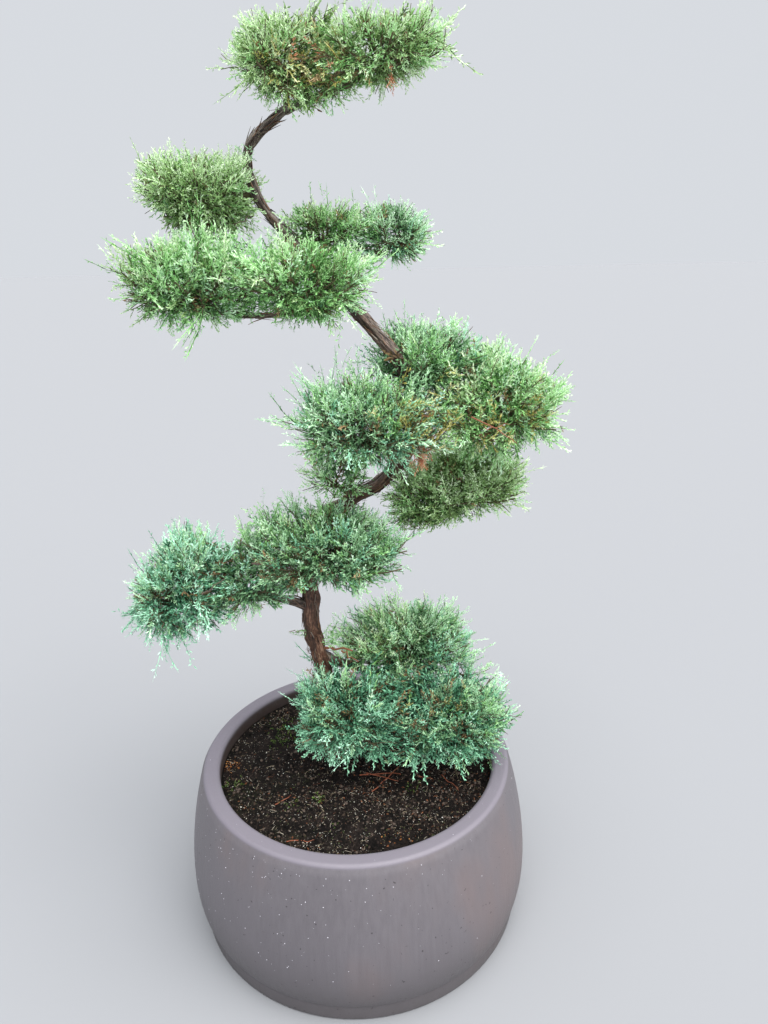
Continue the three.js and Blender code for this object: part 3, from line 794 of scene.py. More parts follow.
def strew_strands(random):
    """Fine curved strands and a few red-brown twigs."""
    strands = Batch()
    for tint in range(len(STRAND_TINTS)):
        starts = soil_places(random, STRANDS)
        ways = flat_ways(random.uniform(0, 2 * math.pi, STRANDS))
        ends = starts + ways * (0.003 + 0.012 * random.uniform(0, 1, (STRANDS, 1)) ** 2)
        inward = np.minimum(1, (SOIL_EDGE - 2) * MM / np.linalg.norm(ends[:, :2], axis=1))
        ends = onto_soil(ends * inward[:, None])
        bows = random.uniform(-1, 1, (STRANDS, 3)) * MM * (2, 2, 0.5)
        middles = (starts + ends) / 2 + bows + UP * 0.002
        girths = np.array(STRAND_GIRTHS) * MM * random.uniform(0.7, 1.3, (STRANDS, 1))
        strands.twigs(arched(starts, middles, ends, 4), girths, 3, tint)
    for (*start, height), (*end, end_height), radius in SOIL_TWIGS:
        path = np.linspace((*start, 0), (*end, 0), 6) * MM
        path[1:-1, :2] += random.normal(0, 0.0018, (4, 2))
        path = onto_soil(path) + UP * np.linspace(height, end_height, 6)[:, None] * MM
        girths = np.linspace(radius, radius * 0.5, 6)[None] * MM
        strands.twigs(path[None], girths, 5, len(STRAND_TINTS))
    strands.make("soil_strands", plain_finishes("strand", (*STRAND_TINTS, SOIL_TWIG_TINT), 0.8), "soil")


def grow_weeds(random):
    """Small weeds, in patches."""
    weeds = Batch()
    for centre, spread, count, length in WEEDS:
        places = soil_places(random, count, centre, spread)
        headings = unit(random.normal(0, 0.6, (count, 3)) + UP)
        lengths = random.uniform(0.6, 1.2, count) * length * MM
        weeds.copies(INNERS, places - UP * MM, headings, places, lengths, np.zeros(count, int), random)
    weeds.make("soil_weeds", plain_finishes("weed", WEED_TINTS), "foliage")


def make_litter():
    """What lies and grows on the compost."""
    random = np.random.default_rng(FIRST_SEED - 5)
    for litter in LITTER:
        strew_bits(random, *litter)
    strew_strands(random)
    grow_weeds(random)


# Limbs.
def unit(vectors):
    return vectors / np.linalg.norm(vectors, axis=-1, keepdims=True)


def turned_about(vectors, axes, angles):
    """Vectors turned about unit axes, each by its own angle."""
    cosine, sine = np.cos(angles)[..., None], np.sin(angles)[..., None]
    along = np.sum(axes * vectors, axis=-1, keepdims=True)
    return vectors * cosine + np.cross(axes, vectors) * sine + axes * along * (1 - cosine)


def bent_line(points):
    """A smooth line through points, which it passes without loops, as many close places."""
    points = np.array(points, float) * MM
    ends = [2 * points[0] - points[1], *points, 2 * points[-1] - points[-2]]
    share = np.linspace(0, 1, 40, endpoint=False)[:, None]
    places = []
    for a, b, c, d in zip(ends, ends[1:], ends[2:], ends[3:]):
        before, span, after = (math.sqrt(np.linalg.norm(q - p)) for p, q in ((a, b), (b, c), (c, d)))
        leave = ((b - a) / before - (c - a) / (before + span) + (c - b) / span) * span
        arrive = ((c - b) / span - (d - b) / (span + after) + (d - c) / after) * span
        cubic = 2 * b - 2 * c + leave + arrive
        square = 3 * c - 3 * b - 2 * leave - arrive
        places.append(b + share * (leave + share * (square + share * cubic)))
    return np.vstack([*places, points[-1:]])


class Limb:
    """A limb's centre line and thickness."""

    def __init__(self, places, radius_at, count=400):
        steps = np.linalg.norm(np.diff(places, axis=0), axis=1)
        lengths = np.concatenate([[0], np.cumsum(steps)])
        self.length = lengths[-1]
        self.shares = np.linspace(0, 1, count)
        even = self.shares * self.length
        self.places = np.stack([np.interp(even, lengths, places[:, k]) for k in range(3)], axis=1)
        self.radii = np.array([radius_at(self, share) for share in self.shares])

    def at(self, share):
        return np.array([np.interp(share, self.shares, self.places[:, k]) for k in range(3)])

    def radius(self, share):
        return float(np.interp(share, self.shares, self.radii))

    def heading(self, share):
        low, high = max(share - 0.004, 0), min(share + 0.004, 1)
        return unit(self.at(high) - self.at(low))

    def share_at_height(self, height):
        return float(np.interp(height, self.places[:, 2], self.shares))


def trunk_radius(limb, share):
    height = np.interp(share, limb.shares, limb.places[:, 2]) / MM - TRUNK_BENDS[0][2]
    taper = TRUNK_TIP_RADIUS + (TRUNK_FOOT_RADIUS - TRUNK_TIP_RADIUS) * (1 - share) ** TRUNK_TAPER
    return (taper + FLARE * math.exp(-height / FLARE_HEIGHT)) * MM


trunk = Limb(bent_line(TRUNK_BENDS), trunk_radius)


class Space:
    """A mass's own space: a lumpy dome about its centre, with flat walls to the spaces of other pads."""

    def __init__(self, index, name, pad, centre, reach, lean, source, arch, look, pale):
        self.index, self.name, self.pad, self.arch, self.look, self.pale = index, name, pad, arch, look, pale
        self.centre = np.array(centre, float) * MM
        self.width, self.depth, self.rise, self.drop = (size * MM for size in reach)
        self.lean = math.radians(lean)
        self.shift = index * LUMP_SHIFT
        self.source = source * MM
        self.walls = []

    def area(self):
        return math.pi * (self.width * self.depth + (self.width + self.depth) / 2 * (self.rise + self.drop))

    def surface(self, directions):
        """How far the dome reaches from its centre in some directions."""
        x, y, z = directions[..., 0], directions[..., 1], directions[..., 2]
        broad = np.sin(3.4 * x + self.shift) * np.cos(2.9 * y - self.shift)
        lumps = 1 + LUMP * (broad + 0.6 * np.sin(4.6 * x - 3.8 * y + self.shift))
        across = x * math.cos(self.lean) - z * math.sin(self.lean)
        above = x * math.sin(self.lean) + z * math.cos(self.lean)
        height = np.where(above > 0, self.rise, self.drop)
        parts = (across / self.width, y / self.depth, above / height)
        return lumps / sum(np.abs(part) ** DOME_POWER for part in parts) ** (1 / DOME_POWER)

    def reach(self, directions, walls=True):
        """How far the space reaches in some directions: to the dome, or to a wall before it."""
        reach = self.surface(directions)
        for normal, distance, own_pad in self.walls:
            if own_pad and not walls:
                continue
            facing = directions @ normal
            reach = np.where(facing > 1e-3, np.minimum(reach, distance / np.maximum(facing, 1e-3)), reach)
        return reach

    def share(self, points):
        """How far out points lie in this space alone: 0 at its centre and 1 at its edge."""
        offsets = points - self.centre
        distances = np.maximum(np.linalg.norm(offsets, axis=-1), 1e-9)
        return distances / self.reach(offsets / distances[..., None], walls=False)


spaces = [Space(index, *mass) for index, mass in enumerate(MASSES)]
for own in spaces:
    for other in spaces:
        if own is other:
            continue
        apart = other.centre - own.centre
        distance = np.linalg.norm(apart)
        normal = apart / distance
        near, far = own.surface(normal), other.surface(-normal)
        own.walls.append((normal, distance * near / (near + far) - CELL_GAP * MM, own.pad == other.pad))


def fill(pad, points):
    """How far out points lie in a pad: 0 in its middle and 1 at its edge. Its masses run together."""
    shares = [space.share(points) for space in spaces if space.pad == pad]
    return -np.log(sum(np.exp(-PAD_BLEND * share) for share in shares)) / PAD_BLEND


def bough_limb(space):
    """The bough that leads to a mass: out of the trunk, bowed a little, and in from below."""
    leave = trunk.share_at_height(space.source)
    start = trunk.at(leave)
    entry = (start - space.centre) * (1, 1, 0)
    entry = unit(unit(entry) - UP * BOUGH_DROP)
    end = space.centre + entry * space.reach(entry) * BOUGH_ENTRY
    middle = (start + end) / 2 + UP * np.linalg.norm(end - start) * space.arch * 2
    t = np.linspace(0, 1, 120)[:, None]
    root = trunk.radius(leave) * BOUGH_SHARE
    places = start * (1 - t) ** 2 + middle * 2 * t * (1 - t) + end * t**2
    return Limb(places, lambda limb, share: root * (1 + (BOUGH_TIP_SHARE - 1) * math.sqrt(share)), 160)


boughs = {space.name: bough_limb(space) for space in spaces if space.arch is not None}


def grow_limb(limb, shares, sides):
    """Draws a ring of the limb's girth out along its centre line, always turned to face along it."""
    place, heading = limb.at(shares[0]), Vector(limb.heading(shares[0]))
    bpy.ops.mesh.primitive_circle_add(
        vertices=sides,
        radius=limb.radius(shares[0]),
        fill_type="NGON",
        location=place,
        rotation=heading.to_track_quat("Z", "Y").to_euler(),
    )
    bpy.ops.object.mode_set(mode="EDIT")
    bpy.ops.mesh.select_all(action="SELECT")
    last = shares[0]
    for share in shares[1:]:
        next_place, next_heading = limb.at(share), Vector(limb.heading(share))
        bpy.ops.mesh.extrude_region_move(TRANSFORM_OT_translate={"value": Vector(next_place - place)})
        turn = heading.rotation_difference(next_heading).to_matrix()
        for axis, angle in zip("XYZ", turn.to_euler("XYZ")):
            bpy.ops.transform.rotate(value=-angle, orient_axis=axis, center_override=next_place)
        size = limb.radius(share) / limb.radius(last)
        bpy.ops.transform.resize(value=(size, size, size), center_override=next_place)
        place, heading, last = next_place, next_heading, share
    leave_shape()
    bpy.ops.object.transform_apply(location=True, rotation=True, scale=True)
    bpy.ops.object.modifier_add(type="SUBSURF")
    smoother = bpy.context.object.modifiers[-1]
    smoother.levels = smoother.render_levels = 2
    bpy.ops.object.modifier_apply(modifier=smoother.name)
    return bpy.context.object


def carve_bark(piece, limb, root_age, flare):
    """Raises the bark's strips and knots along a limb, and notes its grain for the finish."""
    mesh = piece.data
    count = len(mesh.vertices)
    points = np.empty(count * 3, np.float32)
    mesh.vertices.foreach_get("co", points)
    points = points.reshape(-1, 3).astype(float)
    headings = unit(np.gradient(limb.places, axis=0))
    side = unit(np.cross(headings[0], UP + (0.3, 0.1, 0)))
    sides = []
    for heading in headings:
        side = unit(side - heading * np.dot(side, heading))
        sides.append(side)
    sides = np.array(sides)
    fronts = np.cross(headings, sides)
    nearest = np.empty(count, int)
    for part in range(0, count, 4000):
        gaps = points[part : part + 4000, None, :] - limb.places[None, :, :]
        nearest[part : part + 4000] = np.argmin(np.sum(gaps**2, axis=2), axis=1)
    offsets = points - limb.places[nearest]
    offsets -= headings[nearest] * np.sum(offsets * headings[nearest], axis=1, keepdims=True)
    angles = np.arctan2(np.sum(offsets * fronts[nearest], axis=1), np.sum(offsets * sides[nearest], axis=1))
    outward = unit(offsets + 1e-9)
    lengths = limb.shares[nearest] * limb.length
    radii = limb.radii[nearest]
    swirl = angles + lengths * BARK_SWIRL
    grain = np.stack([np.cos(swirl) * radii, np.sin(swirl) * radii, lengths], axis=1)
    lift = np.empty(count)
    for i in range(count):
        around, along = Vector((math.cos(swirl[i]), math.sin(swirl[i]), 0)), lengths[i]
        ridges = [
            max(noise.noise(around * turns + Vector((*shift, along * rows))), lowest) * height
            for turns, rows, shift, lowest, height in BARK_RIDGES
        ]
        lift[i] = sum(ridges) - BARK_SINK
    if flare:
        heights = np.maximum(points[:, 2] / MM - TRUNK_BENDS[0][2], 0)
        lift += FLARE_RIDGE * np.cos(FLARE_LOBES * angles + 0.6) * np.exp(-heights / FLARE_HEIGHT)
    points += outward * (lift * radii)[:, None]
    marks = limb.shares * limb.length
    kinks = np.array([noise.noise_vector(Vector((1, 4, mark * KINKS))) for mark in marks])
    settled = np.minimum(marks / KINK_START, 1)[:, None]
    kinks *= settled * limb.radii[:, None] * KINK_SHARE
    points += kinks[nearest]
    mesh.vertices.foreach_set("co", points.astype(np.float32).ravel())
    mesh.update()
    age = np.clip(root_age * (1 - limb.shares[nearest] * (0.9 if flare else 0.4)), 0, 1)
    # how far the bark faces up: the finish paints it paler there, as painted light
    sky = np.clip(outward[:, 2] * 0.5 + 0.5, 0, 1)
    for name, kind, part, values in [
        ("grain", "FLOAT_VECTOR", "vector", grain),
        ("age", "FLOAT", "value", age),
        ("sky", "FLOAT", "value", sky),
    ]:
        mesh.attributes.new(name, kind, "POINT").data.foreach_set(part, values.astype(np.float32).ravel())


bark = bark_finish()


def make_limbs():
    """The trunk and the boughs with their bark."""
    shares = [(i / TRUNK_RINGS) ** 1.3 for i in range(TRUNK_RINGS + 1)]
    piece = grow_limb(trunk, shares, 12)
    carve_bark(piece, trunk, 1.1, True)
    bpy.ops.object.shade_smooth()
    finish_piece("trunk_bark", bark, "bark", "trunk")
    for name, limb in boughs.items():
        piece = grow_limb(limb, [i / BOUGH_RINGS for i in range(BOUGH_RINGS + 1)], 8)
        carve_bark(piece, limb, 0.5, False)
        bpy.ops.object.shade_smooth()
        finish_piece(f"bough_bark_{name}", bark, "bark", f"bough_{name}")


# Sprays.
class Sprig:
    """One shape of sprig with its shoots, growing up from the origin to about height 1."""

    def __init__(self):
        self.points, self.faces, self.zones = [], [], []

    def shoot(self, root, heading, length, width, twist, bend, zone):
        """A cord-like shoot of two slim faces, widest at its middle, where it bends up. Its tip takes a paler
        tint: painted highlight.
        """
        across = unit(np.cross(heading, (math.cos(twist), math.sin(twist), 0.3)))
        middle = root + heading * length * 0.45
        tip = middle + unit(heading + UP * bend) * length * 0.55
        first = len(self.points)
        self.points += [root, middle + across * width / 2, middle - across * width / 2, tip]
        self.faces += [(first, first + 1, first + 2), (first + 2, first + 1, first + 3)]
        self.zones += [zone, zone + 1]

    def arrays(self):
        return np.array(self.points), np.array(self.faces), np.array(self.zones)


def shape_sprig(random, shoots, spread, width, flat=0.6, fork=0.9, nods=0.28):
    """A plume: an axis that nods a little, with side shoots all along it that fork and bend forward."""
    sprig = Sprig()
    nod = random.uniform(-nods, nods)

    def axis(t):
        return np.array([nod * t * t, 0.04 * math.sin(5 * t), t])

    # Shoots and forks towards the plume's end sit a zone higher, in paler tints: painted highlight.
    for low, high in ((0, 0.45), (0.35, 0.75), (0.65, 1.0)):
        heading = axis(high) - axis(low)
        size = np.linalg.norm(heading)
        sprig.shoot(axis(low), heading / size, size, width * 1.2, low * 9, 0, 0 if high < 0.8 else 1)
    for i in range(shoots):
        t = 0.08 + 0.84 * (i + random.uniform(0.1, 0.9)) / shoots
        turn = i * GOLDEN_ANGLE + random.uniform(-0.5, 0.5)
        side = unit(np.array([math.cos(turn), flat * math.sin(turn), 0]))
        lean = math.radians(random.uniform(36, 74)) * (1.1 - 0.4 * t)
        heading = side * math.sin(lean) + UP * math.cos(lean)
        size = spread * (1.15 - 0.65 * t) * random.uniform(0.7, 1.3)
        sprig.shoot(axis(t), heading, size, width, random.uniform(0, 6), 0.5, 0 if t < 0.4 else 1)
        if random.uniform(0, 1) < fork:
            swing = np.array(random.choice((-1, 1)) * random.uniform(0.5, 0.9))
            hinge = unit(np.cross(heading, UP) + side * 0.3)
            fork_heading = unit(turned_about(heading, hinge, swing) + UP * 0.3)
            fork_root = axis(t) + heading * size * 0.4
            sprig.shoot(fork_root, fork_heading, size * 0.7, width * 0.9, random.uniform(0, 6), 0.4, 1)
    return sprig.arrays()


sprig_random = np.random.default_rng(SPRIG_SEED)
PLUMES = [shape_sprig(sprig_random, 12, 0.22, 0.042) for _ in range(16)]
WISPS = [shape_sprig(sprig_random, 13, 0.13, 0.021, 0.8, 0.5, 0.35) for _ in range(8)]
INNERS = [shape_sprig(sprig_random, 6, 0.45, 0.09, 0.9, 0.3) for _ in range(6)]

# Tints of each look from the deepest to the palest: shaded and lit copies of one colour, with which shade and
# light are painted on the sprays. The looks run from yellow-green to blue-green, and the last two are dead.
TINTS = {
    "olive": ("#4a481e", "#7f7b38", "#aca95b", "#cbca8b", "#e3e4b7"),
    "fresh": ("#3f5930", "#6f8c50", "#a2c684", "#c9e6b2", "#e5f8d6"),
    "soft": ("#32592c", "#5f904c", "#91c87d", "#bae8a8", "#ddfad1"),
    "dusty": ("#284429", "#588257", "#91be8d", "#c2ecc0", "#e2fbe0"),
    "sea": ("#1f422f", "#477f5f", "#7dbb96", "#afe5c4", "#d3fae5"),
    "dead": ("#453523", "#675137", "#8b714d", "#ae9268", "#cab38e"),
    "rust": ("#6b3a25", "#a35a3c", "#c9805c", "#dba584", "#ecc8ac"),
}
SHADES = 5
LOOKS = list(TINTS)
GREEN_LOOKS = LOOKS[:-2]
spray_finishes = [finish for look in LOOKS for finish in plain_finishes(f"spray_{look}", TINTS[look])]
twig_finish = plain_finish("twig_bark", "#57503a", 0.85)

limb_places = np.vstack([trunk.places[::2], *[bough.places[::6] for bough in boughs.values()]])
limb_radii = np.concatenate([trunk.radii[::2], *[bough.radii[::6] for bough in boughs.values()]])


def clear_of_limbs(points):
    """Which of some points lie off the trunk and the boughs."""
    clear = np.ones(len(points), bool)
    for part in range(0, len(points), 4000):
        gaps = np.linalg.norm(points[part : part + 4000, None] - limb_places[None], axis=2)
        clear[part : part + 4000] = np.all(gaps > limb_radii + LIMB_CLEARANCE * MM, axis=1)
    return clear


box_low = np.array(CAD_BOX[0]) - BOX_MARGIN
box_high = np.array(CAD_BOX[1]) + (BOX_MARGIN, BOX_MARGIN, 0)


def fitted_lengths(space, roots, headings, lengths, limits):
    """Each spray's length, drawn in until it stays in the pad and off the limbs. Zero leaves it out."""
    lengths = lengths.copy()
    fits = np.zeros(len(roots), bool)
    for _ in range(FIT_TRIES):
        tips = roots + headings * lengths[:, None]
        middles = roots + headings * lengths[:, None] * 0.6
        fits = (fill(space.pad, tips) < limits) & (fill(space.pad, middles) < limits)
        fits &= clear_of_limbs(tips) & clear_of_limbs(middles)
        fits &= np.all((tips > box_low) & (tips < box_high), axis=1)
        lengths = np.where(fits, lengths, lengths * FIT_SHRINK)
    return np.where(fits, lengths, 0)


def outward_at(pad, points):
    """The way out of a pad at some points, in which it thins the fastest."""
    slopes = [fill(pad, points + axis * 0.004) - fill(pad, points - axis * 0.004) for axis in np.eye(3)]
    return unit(np.stack(slopes, axis=-1) + 1e-9)


def spots_near(pad, points):
    """Each spot of a pad: its weight at some points, 1 there and fading away, its swell and its look."""
    for x, y, z, breadth, swell, *look in SPOTS[pad]:
        gaps = np.linalg.norm(points - np.array((x, y, z)) * MM, axis=-1) / (breadth * MM)
        yield np.exp(-(gaps**2)), swell, look


class Batch:
    """Parts of one piece, gathered as points, three-sided faces and a finish number for each face."""

    def __init__(self):
        self.points, self.faces, self.numbers, self.count = [], [], [], 0

    def add(self, points, faces, numbers):
        self.points.append(points.reshape(-1, 3))
        self.faces.append(faces.reshape(-1, 3) + self.count)
        self.numbers.append(numbers.ravel())
        self.count += len(self.points[-1])

    def copies(self, templates, roots, headings, outwards, sizes, tints, random):
        """Copies of the templates, one at each root, growing along its heading."""
        across = unit(np.cross(headings, outwards) + 1e-6)
        across = turned_about(across, headings, random.uniform(-0.9, 0.9, len(roots)))
        fronts = np.cross(headings, across)
        pick = random.integers(0, len(templates), len(roots))
        for kind, (points, faces, zones) in enumerate(templates):
            chosen = np.flatnonzero(pick == kind)
            axes = np.stack([across[chosen], fronts[chosen], headings[chosen]], axis=1)
            spots = np.einsum("pk,nkc->npc", points, axes) * sizes[chosen, None, None] + roots[chosen, None]
            steps = (np.arange(len(chosen)) * len(points))[:, None, None]
            # Each zone of a template is a shade paler: painted highlights on the tips of shoots.
            shades = np.minimum(tints[chosen, None] % SHADES + zones[None], SHADES - 1)
            self.add(spots, faces[None] + steps, tints[chosen, None] // SHADES * SHADES + shades)

    def twigs(self, paths, radii, sides=3, tint=0):
        """Slim tapering twigs along their paths, each closed at its end."""
        count, rings = paths.shape[:2]
        headings = unit(np.gradient(paths, axis=1))
        across = unit(np.cross(headings, (0.31, 0.22, 0.12)))
        fronts = np.cross(headings, across)
        angles = np.arange(sides) * 2 * math.pi / sides
        around = across[:, :, None] * np.cos(angles)[:, None] + fronts[:, :, None] * np.sin(angles)[:, None]
        points = paths[:, :, None] + around * radii[:, :, None, None]
        faces = []
        for ring in range(rings - 1):
            for k in range(sides):
                a, b = ring * sides + k, ring * sides + (k + 1) % sides
                faces += [(a, b, b + sides), (a, b + sides, a + sides)]
        last = (rings - 1) * sides
        faces += [(last, last + k, last + k + 1) for k in range(1, sides - 1)]
        steps = (np.arange(count) * rings * sides)[:, None, None]
        self.add(points, np.array(faces)[None] + steps, np.full(count * len(faces), tint))

    def make(self, name, materials, slot, *nodes):
        """Makes the piece, with a finish for each face, and says what it is and stands for."""
        points, faces, numbers = (np.concatenate(part) for part in (self.points, self.faces, self.numbers))
        mesh = bpy.data.meshes.new(name)
        mesh.vertices.add(len(points))
        mesh.vertices.foreach_set("co", points.astype(np.float32).ravel())
        mesh.loops.add(faces.size)
        mesh.loops.foreach_set("vertex_index", faces.astype(np.int32).ravel())
        mesh.polygons.add(len(faces))
        mesh.polygons.foreach_set("loop_start", np.arange(0, faces.size, 3, dtype=np.int32))
        used = np.unique(numbers)
        for number in used:
            mesh.materials.append(materials[number])
        mesh.polygons.foreach_set("material_index", np.searchsorted(used, numbers).astype(np.int32))
        mesh.update(calc_edges=True)
        piece = bpy.data.objects.new(name, mesh)
        bpy.context.collection.objects.link(piece)
        enter(piece, slot, *nodes)


def arched(start, middle, end, steps):
    t = np.linspace(0, 1, steps)[:, None]
    return start[:, None] * (1 - t) ** 2 + middle[:, None] * 2 * t * (1 - t) + end[:, None] * t**2


def turned_away(along, lean, random):
    """Headings that lean away from the ones they grow on, in turn all round them."""
    count = len(along)
    sideways = unit(np.cross(along, UP + random.normal(0, 0.05, (count, 3))))
    turns = np.arange(count) * GOLDEN_ANGLE + random.uniform(-0.6, 0.6, count)
    sideways = turned_about(sideways, along, turns)
    return along * np.cos(lean)[:, None] + sideways * np.sin(lean)[:, None]


dead_sprays, trunk_sprays = Batch(), Batch()


def edge_level(pad, points):
    """How far out a pad's edge lies at some points: about 1, less or more at its lumps and its spots."""
    lumps = EDGE_LUMP * np.prod(np.sin(points * EDGE_WAVES + (1, 2, 0)), axis=-1)
    return 1 + lumps + sum(weight * swell for weight, swell, _ in spots_near(pad, points))


def pad_edge(space):
    """Places all over the edge of a mass, where no other mass of its pad is nearer."""
    order = np.arange(CLUMP_PLACES)
    level = 1 - 2 * (order + 0.5) / CLUMP_PLACES
    flat, turn = np.sqrt(1 - level**2), order * GOLDEN_ANGLE
    height = np.where(level > 0, space.rise, space.drop)
    ways = [flat * np.cos(turn) * space.width, flat * np.sin(turn) * space.depth, level * height]
    ways = unit(np.stack(ways, axis=1))
    near, far = np.zeros(CLUMP_PLACES), 1.6 * space.reach(ways, walls=False)
    for _ in range(12):
        middle = (near + far) / 2
        places = space.centre + ways * middle[:, None]
        inside = fill(space.pad, places) < edge_level(space.pad, places)
        near, far = np.where(inside, middle, near), np.where(inside, far, middle)
    places = space.centre + ways * near[:, None]
    own = space.share(places)
    others = [other.share(places) for other in spaces if other.pad == space.pad and other is not space]
    return places[own <= np.min(others, axis=0)] if others else places


def even_places(pad):
    """Places spread evenly over a pad's edge, for each of its masses."""
    edges = {space.name: pad_edge(space) for space in spaces if space.pad == pad}
    places = np.vstack(list(edges.values()))
    names = np.repeat(list(edges), [len(edge) for edge in edges.values()])
    kept = []
    for i in np.random.default_rng(FIRST_SEED).permutation(len(places)):
        if not kept or np.min(np.linalg.norm(places[kept] - places[i], axis=1)) > CLUMP_SPACING:
            kept.append(i)
    return {name: places[[i for i in kept if names[i] == name]] for name in edges}


class Clumps:
    """The lobes of a mass, one about each branch, and the branches that lead to them."""

    def __init__(self, space, places, wood, random):
        self.space, self.places, self.count = space, places, len(places)
        self.outward = outward_at(space.pad, places)
        depths = np.linalg.norm(places - space.centre, axis=1) * random.uniform(*CLUMP_DEPTHS, self.count)
        self.ends = places - self.outward * np.minimum(depths, DEEPEST_CLUMP)[:, None]
        self.peaks = random.uniform(*CLUMP_PEAKS, self.count)
        self.tones = random.normal(0, 0.36, self.count)
        looks = GREEN_LOOKS.index(space.look) + random.normal(0, 0.3, self.count)
        # Painted light: clumps facing up lean to the yellower looks of lit growth, those facing down to the
        # bluer looks of shaded growth.
        self.looks = looks - 0.3 * self.outward[:, 2]
        self.grow_branches(wood, random)

    def grow_branches(self, wood, random):
        """Branches leave the stem, or the trunk where it runs through the mass."""
        space, ends = self.space, self.ends
        bough = boughs.get(space.name)
        stem_root = bough.at(1) if bough else trunk.at(trunk.share_at_height(space.source))
        hub = space.centre - UP * space.drop * 0.35
        leave = bough.heading(1) if bough else unit(hub - stem_root)
        middle = stem_root + leave * np.linalg.norm(hub - stem_root) * 0.5
        stem = arched(stem_root[None], middle[None], hub[None], 9)
        girth = bough.radius(1) if bough else STEM_RADIUS * MM
        wood.twigs(stem, girth * np.linspace(1, 0.6, 9)[None], 6)
        wooden = np.vstack([stem[0, 2:], trunk.places[space.share(trunk.places) < 0.85]])
        ideal = hub + (ends - hub) * 0.25
        nearest = np.argmin(np.linalg.norm(ideal[:, None] - wooden[None], axis=2), axis=1)
        roots = wooden[nearest]
        sag = -UP * 0.14 + random.normal(0, 0.07, (self.count, 3))
        sag *= np.linalg.norm(ends - roots, axis=1)[:, None]
        self.branches = arched(roots, (roots + ends) / 2 + sag, ends, BRANCH_RINGS)
        girths = np.linspace(*BRANCH_GIRTHS, BRANCH_RINGS) * MM * random.uniform(0.8, 1.2, (self.count, 1))
        wood.twigs(self.branches, girths)

    def aside(self, owners, points):
        """How far points lie to the side of their clump's middle: 1 where the next clump begins."""
        offsets = points - self.ends[owners]
        outward = self.outward[owners]
        beside = offsets - outward * np.sum(offsets * outward, axis=1, keepdims=True)
        return np.minimum(np.linalg.norm(beside, axis=1) / CLUMP_RADIUS, 1.3)

    def limits(self, owners, tips):
        """How far out of the pad a clump's tips may reach: less beside it, and as its spots say."""
        valleys = CLUMP_VALLEY * self.aside(owners, tips) ** 2
        return edge_level(self.space.pad, tips) - 1 + self.peaks[owners] - valleys

    def twigs(self, wood, random):
        """Twigs on the outer part of each branch: their roots, ends and owners."""
        space, count = self.space, self.count
        shares = random.uniform(-0.04, 0.04, (count, TWIGS_ON_BRANCH)) + np.linspace(0.42, 1, TWIGS_ON_BRANCH)
        steps = np.clip(shares, 0, 0.999) * (BRANCH_RINGS - 1)
        low = steps.astype(int)
        part = (steps - low)[..., None]
        rows = np.arange(count)[:, None]
        near, far = self.branches[rows, low], self.branches[rows, low + 1]
        roots = (near * (1 - part) + far * part).reshape(-1, 3)
        along = unit(far - near).reshape(-1, 3)
        owners = np.repeat(np.arange(count), TWIGS_ON_BRANCH)
        out = outward_at(space.pad, roots)
        lift = np.where(out[:, 2:3] > -0.45, 0.55, 0.0)
        lean = random.uniform(0.5, 1.25, len(along))
        headings = unit(turned_away(along, lean, random) + out * 0.3 + UP * lift)
        lengths = random.uniform(*TWIG_LENGTHS, len(along))
        limits = self.limits(owners, roots + headings * lengths[:, None]) - 0.1
        lengths = fitted_lengths(space, roots, headings, lengths, limits)
        grown = lengths > LEAST_TWIG
        roots, headings, owners, lengths = roots[grown], headings[grown], owners[grown], lengths[grown, None]
        ends = roots + headings * lengths
        bow = random.normal(0, 0.08, roots.shape) * lengths
        girths = np.linspace(*TWIG_GIRTHS, 4) * MM * np.ones((len(roots), 1))
        wood.twigs(arched(roots, (roots + ends) / 2 + bow, ends, 4), girths)
        return roots, ends, owners


